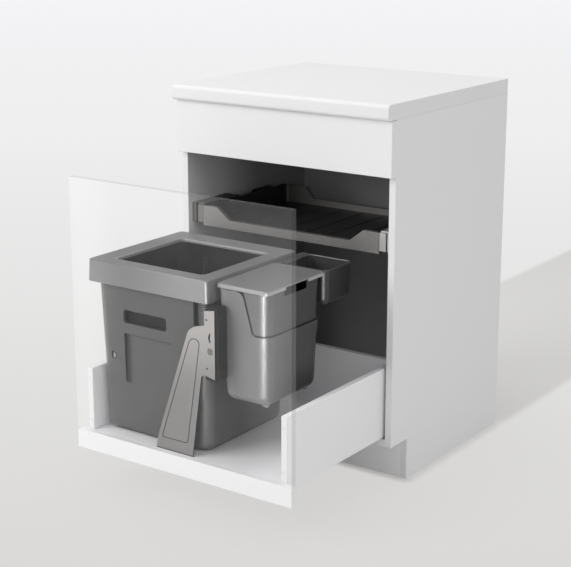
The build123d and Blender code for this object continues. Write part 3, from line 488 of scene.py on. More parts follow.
# Painted light: the open part of the panel glows white through its emission, most at its sides and top.
above_bins = see_through.step(panel_z, 0.56, 0.70) * (panel_x > 0)
side_glow = see_through.step(from_middle, 0.15, 0.27) * (1 - above_bins)
top_glow = see_through.step(panel_z, 0.52, 0.66) * (1 - side_glow)
open_part = (1 - floor_strip) * (1 - side_strip) * (1 - rim)
panel_glow = (side_glow * panel_glow_sides + top_glow * panel_glow_top + panel_glow_least) * open_part
sheet = see_through.mix(floor_strip, (0.86, 0.86, 0.87), (0.92, 0.92, 0.93))
see_through.put("Base Color", see_through.mix(rim, sheet, (0.16, 0.16, 0.16)))
see_through.put("Emission Color", see_through.mix(panel_glow, (0, 0, 0), (1, 1, 1)))
clear = clear_alpha + film * film_alpha
see_through.put("Alpha", clear.at_least(backed * backed_alpha).at_least(rim * rim_alpha))
panel = piece("clear_front", "pullout", panel_mesh, see_through, 0.001)
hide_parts("front_panel")

backing_inset = 0.001
backing_mesh = from_box(
    front_low + Vector((backing_inset, backing_inset, backing_inset)),
    Vector((front_high.x - backing_inset, panel_back - backing_inset, floor_high.z)),
)
backing_white = laminate("backing_white", white)
piece("front_backing", "pullout", backing_mesh, backing_white, 0)


# ---- Runners, slides and screws ----
# The drawer runners and the tray slides are bright zinc-plated steel, rolled to shape. Each pair
# of rails runs on rollers in a cage.
def steel(name, colour, roughness, along, metallic=1.0):
    """Rolled metal with fine lines along its length."""
    finish = Finish(name, Metallic=metallic)
    lines = finish.noise(900, 2, along)
    cloud = finish.noise(30, 2)
    finish.put("Base Color", finish.mix(cloud, shift(colour, -0.06), shift(colour, 0.06)))
    finish.put("Roughness", roughness + (lines - 0.5) * 0.12 + (cloud - 0.5) * 0.06)
    finish.bump(lines, 0.00003)
    return finish


zinc = steel("zinc_steel", (0.55, 0.56, 0.57), 0.34, (1, 0.02, 1))
coat(zinc, *[name for name in nodes if name.startswith(("runner_", "tray_slide_"))])
coat(zinc, *[name for name in nodes if name.endswith("screws")])


# ---- Big bin ----
# An injection moulded bin with drafted walls and round corners. Its front has a grip, a sunk label
# panel, a catch and a ribbed notch, and steps back a little lower down.
above_mouth = 0.004
past_edge = 0.01


def along(edges, axis):
    """The edges that run along an axis, at least in part."""
    return [edge for edge in edges if abs(getattr(edge.verts[0].co - edge.verts[1].co, axis)) > tiny]


def tub(low, high, corner, foot=(0, 0, 0, 0), foot_round=0.0, left_corner=0.0):
    """A closed box with round corners. Its foot is set in from the left, right, front and back."""
    mesh = from_box(low, high)
    middle = (low + high) / 2
    for vert in mesh.verts:
        if vert.co.z < middle.z:
            vert.co.x += foot[0] if vert.co.x < middle.x else -foot[1]
            vert.co.y += foot[2] if vert.co.y < middle.y else -foot[3]
    for side, radius in ((1, corner), (-1, left_corner or corner)):
        on_side = both_ends(mesh, lambda at: (at.x - middle.x) * side > 0)
        rounded(mesh, along(on_side, "z"), radius, 8)
    if foot_round:
        rounded(mesh, both_ends(mesh, lambda at: at.z < low.z + tiny), foot_round)
    return mesh


def combine(operation, first, *others):
    """Cuts closed shapes out of a closed shape, joins them to it or keeps what they share."""
    holders = []
    for mesh in (first, *others):
        bmesh.ops.recalc_face_normals(mesh, faces=mesh.faces)
        data = bpy.data.meshes.new("working")
        mesh.to_mesh(data)
        mesh.free()
        holder = bpy.data.objects.new("working", data)
        scene.collection.objects.link(holder)
        holders.append(holder)
    for other in holders[1:]:
        step = holders[0].modifiers.new("step", "BOOLEAN")
        step.operation = operation
        step.solver = "EXACT"
        step.object = other
    result = bmesh.new()
    result.from_object(holders[0], bpy.context.evaluated_depsgraph_get())
    for holder in holders:
        data = holder.data
        bpy.data.objects.remove(holder)
        bpy.data.meshes.remove(data)
    return result


def slab(centre, span, corner=0.0, axis="y"):
    """A block about its centre, its edges along one axis rounded."""
    centre = Vector(centre)
    half = Vector(span) / 2
    mesh = from_box(centre - half, centre + half)
    if corner:
        rounded(mesh, along(mesh.edges, axis), corner, 5)
    return mesh


def moulding(name, colour, roughness=0.42, gloss=0.8, sheen=0.27):
    """Moulded plastic: a fine spark-eroded grain, and a satin skin over it."""
    finish = Finish(name, Coat_Roughness=sheen, Coat_IOR=1.6, Specular_IOR_Level=0.15)
    pores = finish.noise(1100, 2)
    cloud = finish.noise(14, 2)
    finish.plastic = finish.mix(cloud, shift(colour, -0.05), shift(colour, 0.05))
    finish.skin = gloss + (cloud - 0.5) * 0.2
    finish.put("Base Color", finish.plastic)
    finish.put("Coat Weight", finish.skin)
    finish.put("Roughness", roughness + (cloud - 0.5) * 0.08 + (pores - 0.5) * 0.05)
    finish.bump(pores, 0.000004)
    return finish


def past_rounding(finish, low, high, lean, corner):
    """How far a place lies past the start of a tub's round corners, in X and in Y."""
    down = (high.z - finish.axis("Z")) / (high.z - low.z)
    middle_x = down * ((lean[0] - lean[1]) / 2) + (low.x + high.x) / 2
    middle_y = down * ((lean[2] - lean[3]) / 2) + (low.y + high.y) / 2
    half_x = (high.x - low.x) / 2 - down * ((lean[0] + lean[1]) / 2)
    half_y = (high.y - low.y) / 2 - down * ((lean[2] + lean[3]) / 2)
    over_x = abs(finish.axis("X") - middle_x) - half_x + corner
    over_y = abs(finish.axis("Y") - middle_y) - half_y + corner
    return over_x, over_y


def thin_flat_skin(finish, over, corner, flat_skin=0.35):
    """Thins the satin skin on the flat walls of a tub, so that its round corners shine most."""
    over_x, over_y = over
    round_zone = finish.step(over_x.at_most(over_y), -0.001, corner * 0.3)
    finish.skin = finish.skin * (round_zone * (1 - flat_skin) + flat_skin)
    finish.put("Coat Weight", finish.skin)


def wall_depth(over, corner):
    """How deep a place lies under the outer walls of a tub."""
    over_x, over_y = over
    round_part = (over_x.at_least(0) ** 2 + over_y.at_least(0) ** 2) ** 0.5
    return corner - round_part - over_x.at_least(over_y).at_most(0)


def shade_inside(finish, inside, colour, dull=0.6):
    """Paints the inside of a tub and its pockets in another grey under a thinner skin. It is painted
    shade, and painted light where that grey is lighter than the tub's.
    """
    finish.plastic = finish.mix(inside, finish.plastic, colour)
    finish.skin = finish.skin * (1 - inside * dull)
    finish.put("Base Color", finish.plastic)
    finish.put("Coat Weight", finish.skin)


bin_grey = (0.095, 0.095, 0.0955)
frame_grey = (0.16, 0.16, 0.161)
bin_shade = (0.009, 0.009, 0.009)
bin_low, bin_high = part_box("big_bin")
bin_lip = 0.004
bin_low = bin_low + Vector((bin_lip, bin_lip, 0))
bin_high = bin_high - Vector((bin_lip, bin_lip, 0))
bin_draft = 0.0111
bin_lean = (bin_draft, bin_draft, bin_draft, bin_draft)
bin_corner = 0.031
bin_foot_round = 0.018
bin_wall = 0.003
band_foot = 0.266
band_rise = 0.0022
band_depth = 0.06
label_left = -0.184
label_right = -0.044
label_foot = 0.24
label_top = 0.379
label_sink = 0.0075
label_draft = 0.0037
label_corner = 0.006
label_cut_depth = 0.05
label_cut_shift = 0.01
grip_x = -0.1225
grip_z = 0.4187
grip_span = (0.124, 0.036, 0.031)
grip_corner = 0.007
grip_shell_span = (0.130, 0.034, 0.037)
grip_shell_corner = 0.010
notch_left = 0.017
notch_right = 0.042
notch_low = 0.4317
notch_high = 0.496
notch_reach = 0.04
notch_x = (notch_left + notch_right) / 2
notch_z = (notch_low + notch_high) / 2
notch_back = bin_low.y + 0.0105
notch_shell_span = (0.031, 0.020, 0.070)
pocket_shell_shift = 0.006
catch_z = 0.3215
catch_pocket_x = -0.217
catch_x = -0.2155

bin_body = tub(bin_low, bin_high, bin_corner, bin_lean, bin_foot_round)
inner = Vector((bin_wall, bin_wall, 0))
bin_hollow = tub(
    bin_low + inner + Vector((0, bin_wall, bin_wall)),
    bin_high - inner + Vector((0, 0, above_mouth)),
    bin_corner - bin_wall,
    bin_lean,
    bin_foot_round - bin_wall,
)
pocket_shell_y = bin_low.y + pocket_shell_shift
grip_shell = slab((grip_x, pocket_shell_y, grip_z), grip_shell_span, grip_shell_corner)
notch_shell = slab((notch_x, pocket_shell_y, notch_z), notch_shell_span, 0.004)
bin_hollow = combine("DIFFERENCE", bin_hollow, grip_shell, notch_shell)
aside = Vector((0.001, 0, 0))
lower_skin = tub(
    bin_low + Vector((0, band_rise, 0)) - aside, bin_high + aside, bin_corner, bin_lean, bin_foot_round
)
lower_region = from_box(
    Vector((bin_low.x - past_edge, bin_low.y - past_edge, 0)),
    Vector((bin_high.x + past_edge, bin_low.y + band_depth, band_foot)),
)
lower_cut = combine("DIFFERENCE", lower_region, lower_skin)
label_lean = (bin_draft, bin_draft, label_draft, bin_draft)
label_skin = tub(bin_low + Vector((0, label_sink, 0)), bin_high, bin_corner, label_lean, bin_foot_round)
label_region = slab(
    ((label_left + label_right) / 2, bin_low.y + label_cut_shift, (label_foot + label_top) / 2),
    (label_right - label_left, label_cut_depth, label_top - label_foot),
    label_corner,
)
label_cut = combine("DIFFERENCE", label_region, label_skin)
grip_pocket = slab((grip_x, bin_low.y, grip_z), grip_span, grip_corner)
notch_pocket = slab(
    (notch_x, notch_back - notch_reach / 2, notch_z),
    (notch_right - notch_left, notch_reach, notch_high - notch_low),
    0.002,
)
catch_pocket = slab((catch_pocket_x, bin_low.y + 0.004, catch_z), (0.015, 0.011, 0.018), 0.004)
bin_mesh = combine(
    "DIFFERENCE", bin_body, bin_hollow, lower_cut, label_cut, grip_pocket, notch_pocket, catch_pocket
)

front_zone = 0.035
inside_from = 0.0015
pocket_allowance = 0.0043
label_margin = 0.001
left_shade_share = 0.8
top_shade_share = 0.3
bin_plastic = moulding("bin_plastic", bin_grey, 0.42, 1.0, 0.27)
bin_over = past_rounding(bin_plastic, bin_low, bin_high, bin_lean, bin_corner)
thin_flat_skin(bin_plastic, bin_over, bin_corner)
bin_x = bin_plastic.axis("X")
bin_z = bin_plastic.axis("Z")
front_wall = bin_plastic.axis("Y") < bin_low.y + front_zone
in_bin = wall_depth(bin_over, bin_corner) > front_wall * pocket_allowance + inside_from
in_bin = in_bin * (bin_z > bin_low.z + tiny)
in_label = front_wall * (bin_x > label_left - label_margin)
in_label = in_label * (bin_z < label_top + tiny) * (bin_z > band_foot - 0.004)
left_shade = 1 - bin_plastic.step(bin_x, label_left + 0.003, label_left + 0.024)
top_shade = bin_plastic.step(bin_z, label_top - 0.007, label_top - 0.001) * (bin_x < label_right)
label_shade = (left_shade * left_shade_share).at_least(top_shade * top_shade_share) * in_label
bin_plastic.plastic = bin_plastic.mix(label_shade, bin_plastic.plastic, bin_shade)
bin_plastic.skin = bin_plastic.skin * (1 - label_shade * 0.5)
shade_inside(bin_plastic, in_bin, bin_shade, in_bin * 0.5 + front_wall * 0.5)
big_bin = piece("moulded_bin", "big_bin", bin_mesh, bin_plastic, 0)
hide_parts("big_bin")
strip_lit.objects.link(big_bin)

lip_height = 0.006
lip_throat = 0.0015
bin_lip_mesh = combine(
    "DIFFERENCE",
    tub(
        Vector((bin_low.x - bin_lip, bin_low.y - bin_lip, bin_high.z - lip_height)),
        bin_high + Vector((bin_lip, bin_lip, 0)),
        bin_corner + bin_lip,
    ),
    tub(
        Vector((bin_low.x + lip_throat, bin_low.y + lip_throat, bin_high.z - 0.02)),
        bin_high + Vector((-lip_throat, -lip_throat, past_edge)),
        bin_corner,
    ),
)
piece("bin_lip", "big_bin", bin_lip_mesh, moulding("bin_lip_plastic", bin_grey))

# Painted shade: the rib inside the bin is a darker grey than the bin's own.
inner_rib_painted_shade = moulding("bin_rib_painted_shade", (0.05, 0.05, 0.05))
rib_mesh = slab((-0.1905, bin_high.y - 0.0085, 0.395), (0.012, 0.006, 0.190), 0.0015, "z")
piece("bin_inner_rib", "big_bin", rib_mesh, inner_rib_painted_shade, 0.0005)
notch_rib_pitch = 0.0045
notch_rib_count = 13
notch_rib_shift = 0.004
notch_ribs = slab(
    (notch_x + notch_rib_shift, notch_back - 0.0002, notch_low + notch_rib_shift),
    (notch_right - notch_left - 0.009, 0.003, 0.0018),
)
first_rib = notch_ribs.verts[:] + notch_ribs.edges[:] + notch_ribs.faces[:]
for count in range(1, notch_rib_count):
    copied = bmesh.ops.duplicate(notch_ribs, geom=first_rib)["geom"]
    risen = [item for item in copied if isinstance(item, bmesh.types.BMVert)]
    bmesh.ops.translate(notch_ribs, vec=(0, 0, notch_rib_pitch * count), verts=risen)
# Painted light: the ribs in the notch are a lighter grey than the bin they are moulded on.
notch_rib_painted_light = moulding("notch_rib_painted_light", frame_grey)
piece("bin_notch_ribs", "big_bin", notch_ribs, notch_rib_painted_light, 0)
catch_mesh = slab((catch_x, bin_low.y + 0.0070, catch_z), (0.007, 0.005, 0.011), 0.0025)
catch_plastic = moulding("catch_plastic", (0.26, 0.26, 0.26))
piece("bin_catch", "big_bin", catch_mesh, catch_plastic, 0.0005)


# ---- Bag frame ----
# A deep moulded frame that drops over the bin's mouth and holds the bag. Its bars are flat on top
# and the edge round its mouth is rolled.
frame_low, frame_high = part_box("bag_frame")
frame_corner = 0.011
frame_sheet = 0.0024
frame_draft = 0.0019
frame_edge = 0.0022
mouth_low = Vector((-0.2256, -0.3931, frame_high.z - 0.0075))
mouth_high = Vector((0.0226, -0.1599, frame_high.z))
mouth_corner = 0.009
mouth_roll = 0.004


def frame_form(low, high, corner):
    """The frame's outer form, which widens a little towards its foot."""
    return tub(
        low + Vector((frame_draft, frame_draft, 0)),
        high - Vector((frame_draft, frame_draft, 0)),
        corner,
        (-frame_draft,) * 4,
    )


frame_body = frame_form(frame_low, frame_high, frame_corner)
rounded(frame_body, both_ends(frame_body, lambda at: at.z > frame_high.z - tiny), frame_edge, 4)
frame_inset = Vector((frame_sheet, frame_sheet, 0))
frame_hollow = frame_form(
    frame_low + frame_inset - Vector((0, 0, past_edge)),
    frame_high - frame_inset - Vector((0, 0, frame_sheet)),
    frame_corner - frame_sheet,
)
throat = tub(
    mouth_low - Vector((frame_sheet, frame_sheet, 0)),
    mouth_high + Vector((frame_sheet, frame_sheet, -0.001)),
    mouth_corner + frame_sheet,
)
mouth_cut = tub(
    mouth_low - Vector((0, 0, 0.03)), mouth_high + Vector((0, 0, past_edge)), mouth_corner
)
frame_mesh = combine("DIFFERENCE", frame_body, frame_hollow)
frame_mesh = combine("UNION", frame_mesh, throat)
frame_mesh = combine("DIFFERENCE", frame_mesh, mouth_cut)
bmesh.ops.remove_doubles(frame_mesh, verts=frame_mesh.verts, dist=0.00002)
mouth_edges = [
    edge
    for edge in both_ends(frame_mesh, lambda at: at.z > frame_high.z - 0.0001)
    if all(
        mouth_low.x - tiny < vert.co.x < mouth_high.x + tiny
        and mouth_low.y - tiny < vert.co.y < mouth_high.y + tiny
        for vert in edge.verts
    )
]
rounded(frame_mesh, mouth_edges, mouth_roll, 4)

bar_face = 0.0035
bar_top = 0.002
front_light_gain = 0.95
left_shade_gain = -0.15
back_light_gain = 0.35
roll_highlight_gain = 0.8
frame_plastic = moulding("bag_frame_plastic", frame_grey, 0.42, 0.7, 0.36)
frame_lean = (-frame_draft,) * 4
frame_over = past_rounding(frame_plastic, frame_low, frame_high, frame_lean, frame_corner)
thin_flat_skin(frame_plastic, frame_over, frame_corner)
frame_x = frame_plastic.axis("X")
frame_y = frame_plastic.axis("Y")
on_front = frame_y < frame_low.y + bar_face
# Painted light and shade: the front face turns lighter towards its right, and the top is lighter towards
# the back and darker at the left.
front_painted_light = on_front * (frame_plastic.step(frame_x, -0.17, 0.035) * 0.68 + 0.32)
on_top = frame_plastic.axis("Z") > frame_high.z - bar_top
back_painted_light = frame_plastic.step(frame_y, -0.24, -0.14) * on_top
left_painted_shade = (1 - frame_plastic.step(frame_x, -0.25, -0.12)) * (1 - back_painted_light) * on_top
for share, gain in ((front_painted_light, front_light_gain), (left_painted_shade, left_shade_gain), (back_painted_light, back_light_gain)):
    frame_plastic.plastic = frame_plastic.mix(share, frame_plastic.plastic, shift(frame_grey, gain))
mouth_middle = (mouth_low + mouth_high) / 2
mouth_half = (mouth_high - mouth_low) / 2
past_x = abs(frame_x - mouth_middle.x) - mouth_half.x
past_y = abs(frame_y - mouth_middle.y) - mouth_half.y
past_mouth = past_x.at_least(past_y)
# Painted highlight: the rolled edge round the mouth is a lighter grey.
roll = 1 - frame_plastic.step(past_mouth, mouth_roll - 0.001, mouth_roll + 0.001)
roll_painted_highlight = frame_plastic.mix(roll * 0.5, frame_plastic.plastic, shift(frame_grey, roll_highlight_gain))
frame_plastic.put("Base Color", roll_painted_highlight)
frame_plastic.put("Coat Weight", frame_plastic.skin.at_least(roll))
bag_frame = piece("moulded_bag_frame", "bag_frame", frame_mesh, frame_plastic, 0)
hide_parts("bag_frame")
strip_lit.objects.link(bag_frame)


# ---- Stabiliser, bracket and caddy rail ----
# A stamped steel leg in a warm grey coat braces the tall front. Its ear carries the black bracket
# of the caddy rail and the cam that sets the front upright.
leg_grey = (0.30, 0.292, 0.288)
leg_coat = steel("warm_grey_coat", leg_grey, 0.42, (1, 1, 0.05), 0.75)
leg_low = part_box("stabiliser")[0]
leg_sheet = 0.003
ear_light_gain = 0.65
edge_shade_gain = -0.8
# Painted shade: the walls of the groove, the holes and the cut sides of the sheet are darkened, and so is
# a line along the foot.
leg_depth = leg_coat.axis("Y") - leg_low.y
in_sheet = (leg_depth > 0.0003) * (leg_depth < leg_sheet - 0.0001)
leg_cloud = leg_coat.noise(30, 2)
leg_plain = leg_coat.mix(leg_cloud, shift(leg_grey, -0.05), shift(leg_grey, 0.05))
# Painted light: the coat is lighter up the ear than on the leg below.
ear_light_share = leg_coat.step(leg_coat.axis("Z"), 0.28, 0.46)
leg_plain = leg_coat.mix(ear_light_share, leg_plain, shift(leg_grey, ear_light_gain))
foot_shadow = leg_coat.axis("Z") < leg_low.z + leg_sheet - 0.0002
edge_shade = in_sheet.at_least(foot_shadow)
leg_coat.put("Base Color", leg_coat.mix(edge_shade, leg_plain, shift(leg_grey, edge_shade_gain)))
foot_z = leg_low.z


def plate(points, front, thickness, corners, segments=6):
    """Sheet cut to an outline drawn in X and Z, with some of its corners rounded."""
    mesh = bmesh.new()
    verts = [mesh.verts.new((x, front, z)) for x, z in points]
    mesh.faces.new(verts)
    for index, radius in corners.items():
        bmesh.ops.bevel(
            mesh,
            geom=[verts[index]],
            offset=radius,
            offset_type="OFFSET",
            segments=segments,
            profile=0.5,
            affect="VERTICES",
            material=-1,
        )
    outline = bmesh.ops.extrude_face_region(mesh, geom=mesh.faces[:])
    far = [item for item in outline["geom"] if isinstance(item, bmesh.types.BMVert)]
    bmesh.ops.translate(mesh, vec=(0, thickness, 0), verts=far)
    return mesh


leg_points = (
    (-0.077, foot_z),
    (0.025, foot_z),
    (0.0526, 0.331),
    (0.0626, 0.335),
    (0.090, 0.329),
    (0.090, 0.482),
    (0.0626, 0.478),
    (0.0626, 0.446),
    (0.029, 0.437),
    (0.017, 0.424),
    (-0.073, 0.1655),
)
leg_mesh = plate(leg_points, leg_low.y, leg_sheet, {2: 0.004, 8: 0.012, 9: 0.010, 10: 0.02})
groove_points = ((-0.062, 0.168), (0.013, 0.168), (0.051, 0.412), (0.023, 0.412))
groove_inside = ((-0.0594, 0.1698), (0.0113, 0.1698), (0.0489, 0.4102), (0.0244, 0.4102))
groove_rounds = {0: 0.008, 1: 0.008, 2: 0.014, 3: 0.012}
groove_inner_rounds = {0: 0.0066, 1: 0.0066, 2: 0.0126, 3: 0.0106}
groove_outer = plate(groove_points, leg_low.y - 0.002, 0.0032, groove_rounds)
groove_inner = plate(groove_inside, leg_low.y - 0.003, 0.006, groove_inner_rounds)
groove = combine("DIFFERENCE", groove_outer, groove_inner)


def round_hole(x, z, radius, front, thickness):
    """A round cutter along Y."""
    mesh = bmesh.new()
    turned = Matrix.Translation((x, front + thickness / 2, z)) @ Matrix.Rotation(math.pi / 2, 4, "X")
    bmesh.ops.create_cone(
        mesh, cap_ends=True, segments=32, radius1=radius, radius2=radius, depth=thickness, matrix=turned
    )
    return mesh


cam_x = 0.0776
cam_z = 0.390
cam_hole_radius = 0.0074
ear_screw_x = 0.0686
ear_screw_radius = 0.0024
cut_front = leg_low.y - 0.002
cut_through = 0.008
ear_cuts = [round_hole(cam_x, cam_z, cam_hole_radius, cut_front, cut_through)]
for ear_screw_z in (0.459, 0.351):
    ear_cuts.append(round_hole(ear_screw_x, ear_screw_z, ear_screw_radius, cut_front, cut_through))
slot_points = (
    (cam_x - 0.0012, cam_z + 0.0195),
    (cam_x + 0.0018, cam_z + 0.0205),
    (cam_x - 0.0004, cam_z + 0.030),
    (cam_x + 0.0016, cam_z + 0.0405),
    (cam_x - 0.0016, cam_z + 0.0410),
    (cam_x - 0.0052, cam_z + 0.030),
)
ear_cuts.append(plate(slot_points, cut_front, cut_through, {}))
leg_foot = from_box(
    Vector((-0.077, leg_low.y + 0.001, foot_z)), Vector((0.001, leg_low.y + 0.025, foot_z + leg_sheet))
)
leg_mesh = combine("DIFFERENCE", leg_mesh, groove, *ear_cuts)
leg_mesh = combine("UNION", leg_mesh, leg_foot)
stabiliser = piece("stamped_leg", "pullout", leg_mesh, leg_coat, 0)
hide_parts("stabiliser")

dark_steel = steel("dark_steel", (0.04, 0.04, 0.04), 0.45, (1, 0.05, 1), 0.6)
coat(dark_steel, "caddy_rail", "stabiliser_screws")
cam_steel = steel("cam_steel", (0.30, 0.295, 0.29), 0.4, (1, 1, 1), 0.8)
cam_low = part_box("adjuster_cam")[0]
cam_face_radius = 0.0052
cross_half_width = 0.0012
# Painted shade: the cross sunk in the cam's face and the ring round its face are near black.
cam_depth = cam_steel.axis("Y") - cam_low.y
in_cross = (cam_depth > 0.0004) * (cam_depth < 0.0018)
cam_from_x = cam_steel.axis("X") - cam_x
cam_from_z = cam_steel.axis("Z") - cam_z
cam_rim = (cam_from_x**2 + cam_from_z**2) ** 0.5 > cam_face_radius
off_cross = (abs(cam_from_x) > cross_half_width) * (abs(cam_from_z) > cross_half_width)
cam_painted_shade = in_cross.at_least(cam_rim * off_cross)
cam_steel.put("Base Color", cam_steel.mix(cam_painted_shade, (0.42, 0.41, 0.40), (0.01, 0.01, 0.01)))
coat(cam_steel, "adjuster_cam")
black_plastic = moulding("black_plastic", (0.010, 0.010, 0.010), 0.6, 0.1)
coat(black_plastic, "caddy_bracket")


# ---- Caddy ----
# The compost caddy is a bucket that stands in a holder, which hooks on the rail. The holder is cut
# down on one side, and a flat lid with a rolled edge closes the bucket.
lid_low, lid_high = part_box("caddy_lid")
bucket_low, bucket_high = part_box("caddy_bucket")
caddy_y = (lid_low.y + lid_high.y) / 2
caddy_wall = 0.0022
bucket_play = 0.0005
bucket_inset = Vector((caddy_wall + bucket_play, caddy_wall + bucket_play, 0))
caddy_low = bucket_low - bucket_inset - Vector((0, 0, 0.0025))
caddy_high = bucket_high + bucket_inset
caddy_corner = 0.027
caddy_left_corner = 0.013
caddy_foot_round = 0.022
caddy_lean = (0.018, 0.002, 0.002, 0.016)
caddy_shade = (0.02, 0.02, 0.02)
cut_x = lid_low.x + 0.094
cut_z = 0.430
holder_top = 0.522
brow_x = cut_x - 0.025
brow_z = holder_top - 0.003
band_height = 0.030
band_before_cut = 0.009
band_rise_out = 0.0015
hook_low = Vector((0.06671, -0.3825, 0.455))
hook_high = Vector((0.06921, -0.2345, 0.4728))
hook_bridge_low = Vector((0.0672, -0.3825, 0.4703))
hook_bridge_high = Vector((0.0759, -0.2345, 0.4728))
clear_front_y = -0.46
clear_back_y = -0.06
clear_right = 0.27
clear_top = 0.60


def shell(low, high, lean, corner, left_corner, foot_round, wall):
    """An open tub with a wall of even thickness."""
    inset = Vector((wall, wall, 0))
    inner_low = low + inset + Vector((0, 0, wall))
    inner_high = high - inset + Vector((0, 0, above_mouth))
    hollow = tub(inner_low, inner_high, corner - wall, lean, foot_round - wall, left_corner - wall)
    return combine("DIFFERENCE", tub(low, high, corner, lean, foot_round, left_corner), hollow)


def shade_right(finish, low, high):
    """Paints shade on the side that faces away from the softbox, deeper towards its back."""
    turned = finish.step(finish.axis("X"), high.x - 0.012, high.x - 0.004)
    deeper = finish.step(finish.axis("Y"), low.y + 0.012, low.y + 0.1) * 0.36 + 0.52
    finish.plastic = finish.mix(turned * deeper, finish.plastic, caddy_shade)
    finish.put("Base Color", finish.plastic)


cut_points = (
    (cut_x - 0.042, clear_top),
    (cut_x - 0.042, holder_top),
    (brow_x, brow_z),
    (cut_x, cut_z),
    (clear_right, cut_z),
    (clear_right, clear_top),
)
holder_cut = plate(cut_points, clear_front_y, clear_back_y - clear_front_y, {2: 0.011, 3: 0.009})
holder_over = from_box(
    Vector((0.05, clear_front_y, holder_top)), Vector((clear_right, clear_back_y, clear_top))
)
band_step = Vector((band_rise_out, band_rise_out, 0))
band_skin = tub(
    caddy_low - band_step, caddy_high + band_step, caddy_corner, caddy_lean, caddy_foot_round
)
band_zone = from_box(
    Vector((cut_x - band_before_cut, clear_front_y, cut_z - band_height)),
    Vector((clear_right, clear_back_y, cut_z)),
)
band_core = tub(
    caddy_low + band_step,
    caddy_high - band_step,
    caddy_corner - band_rise_out,
    caddy_lean,
    caddy_foot_round,
)
holder_band = combine("DIFFERENCE", combine("INTERSECT", band_skin, band_zone), band_core)
holder_mesh = shell(
    caddy_low, caddy_high, caddy_lean, caddy_corner, caddy_left_corner, caddy_foot_round, caddy_wall
)
holder_mesh = combine("UNION", holder_mesh, holder_band)
holder_mesh = combine("DIFFERENCE", holder_mesh, holder_cut, holder_over)
holder_hook = combine("UNION", from_box(hook_low, hook_high), from_box(hook_bridge_low, hook_bridge_high))
holder_mesh = combine("UNION", holder_mesh, holder_hook)
foot_x = caddy_high.x - 0.022
foot_span = (0.014, 0.010, 0.006)
for foot_y in (caddy_low.y + 0.024, caddy_high.y - 0.044):
    foot = slab((foot_x, foot_y, caddy_low.z), foot_span, 0.003, "z")
    holder_mesh = combine("UNION", holder_mesh, foot)
holder_plastic = moulding("holder_plastic", shift(frame_grey, 0.33), 0.42, 1.0, 0.37)
shade_right(holder_plastic, caddy_low, caddy_high)
holder_over_round = past_rounding(holder_plastic, caddy_low, caddy_high, caddy_lean, caddy_corner)
thin_flat_skin(holder_plastic, holder_over_round, caddy_corner)
holder = piece("caddy_stand", "caddy_holder", holder_mesh, holder_plastic, 0)
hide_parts("caddy_holder")
strip_lit.objects.link(holder)

bucket_sink = caddy_wall + bucket_play
bucket_corner = caddy_corner - bucket_sink
bucket_mesh = shell(
    bucket_low,
    bucket_high,
    caddy_lean,
    bucket_corner,
    caddy_left_corner - bucket_sink,
    caddy_foot_round - bucket_sink,
    caddy_wall,
)
grip_window = slab((bucket_high.x, caddy_y, 0.518), (0.06, 0.082, 0.018), 0.003, "x")
bucket_mesh = combine("DIFFERENCE", bucket_mesh, grip_window)

inside_wall = 0.0012
bucket_plastic = moulding("bucket_plastic", shift(frame_grey, 0.08), 0.42, 1.0, 0.37)
bucket_x = bucket_plastic.axis("X")
bucket_z = bucket_plastic.axis("Z")
# Painted shadow: a dark line on the bucket along the cut edge of the holder.
cut_way = Vector((cut_x - brow_x, cut_z - brow_z)).normalized()
past_cut = (bucket_x - brow_x) * -cut_way.y + (bucket_z - brow_z) * cut_way.x
cut_shadow = 1 - bucket_plastic.step(past_cut.at_most(bucket_z - cut_z), 0.0014, 0.0048)
shade_right(bucket_plastic, bucket_low, bucket_high)
bucket_over = past_rounding(bucket_plastic, bucket_low, bucket_high, caddy_lean, bucket_corner)
thin_flat_skin(bucket_plastic, bucket_over, bucket_corner)
in_bucket = wall_depth(bucket_over, bucket_corner) > inside_wall
in_bucket = in_bucket * (bucket_z > bucket_low.z + tiny)
shade_inside(bucket_plastic, in_bucket.at_least(cut_shadow), caddy_shade)
bucket = piece("compost_bucket", "caddy_bucket", bucket_mesh, bucket_plastic, 0)
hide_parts("caddy_bucket")
strip_lit.objects.link(bucket)

lid_sheet = 0.003
lid_corner = 0.010
lid_edge = 0.0032
lid_skirt_wall = 0.0018
lid_skirt_light_gain = 1.3
notch_half = 0.0413
lid_body = tub(lid_low, lid_high, lid_corner)
rounded(lid_body, both_ends(lid_body, lambda at: at.z > lid_high.z - tiny), lid_edge, 5)
lid_hollow = tub(
    lid_low + Vector((lid_skirt_wall, lid_skirt_wall, -past_edge)),
    lid_high - Vector((lid_skirt_wall, lid_skirt_wall, lid_sheet)),
    lid_corner,
)
lid_notch = from_box(
    Vector((lid_high.x - 0.005, caddy_y - notch_half, lid_low.z - 0.002)),
    Vector((lid_high.x + 0.002, caddy_y + notch_half, lid_high.z - lid_sheet)),
)
lid_mesh = combine("DIFFERENCE", lid_body, lid_hollow, lid_notch)
lid_plastic = moulding("lid_plastic", shift(frame_grey, 0.15), 0.42, 0.9)
# Painted light: the rolled edge and the skirt of the lid are a lighter grey than its top.
on_skirt = 1 - lid_plastic.step(lid_plastic.axis("Z"), lid_high.z - 0.0035, lid_high.z - 0.0008)
skirt_painted_light = shift(frame_grey, lid_skirt_light_gain)
lid_plastic.put("Base Color", lid_plastic.mix(on_skirt, lid_plastic.plastic, skirt_painted_light))
lid = piece("caddy_cover", "caddy_lid", lid_mesh, lid_plastic, 0)
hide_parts("caddy_lid")
strip_lit.objects.link(lid)


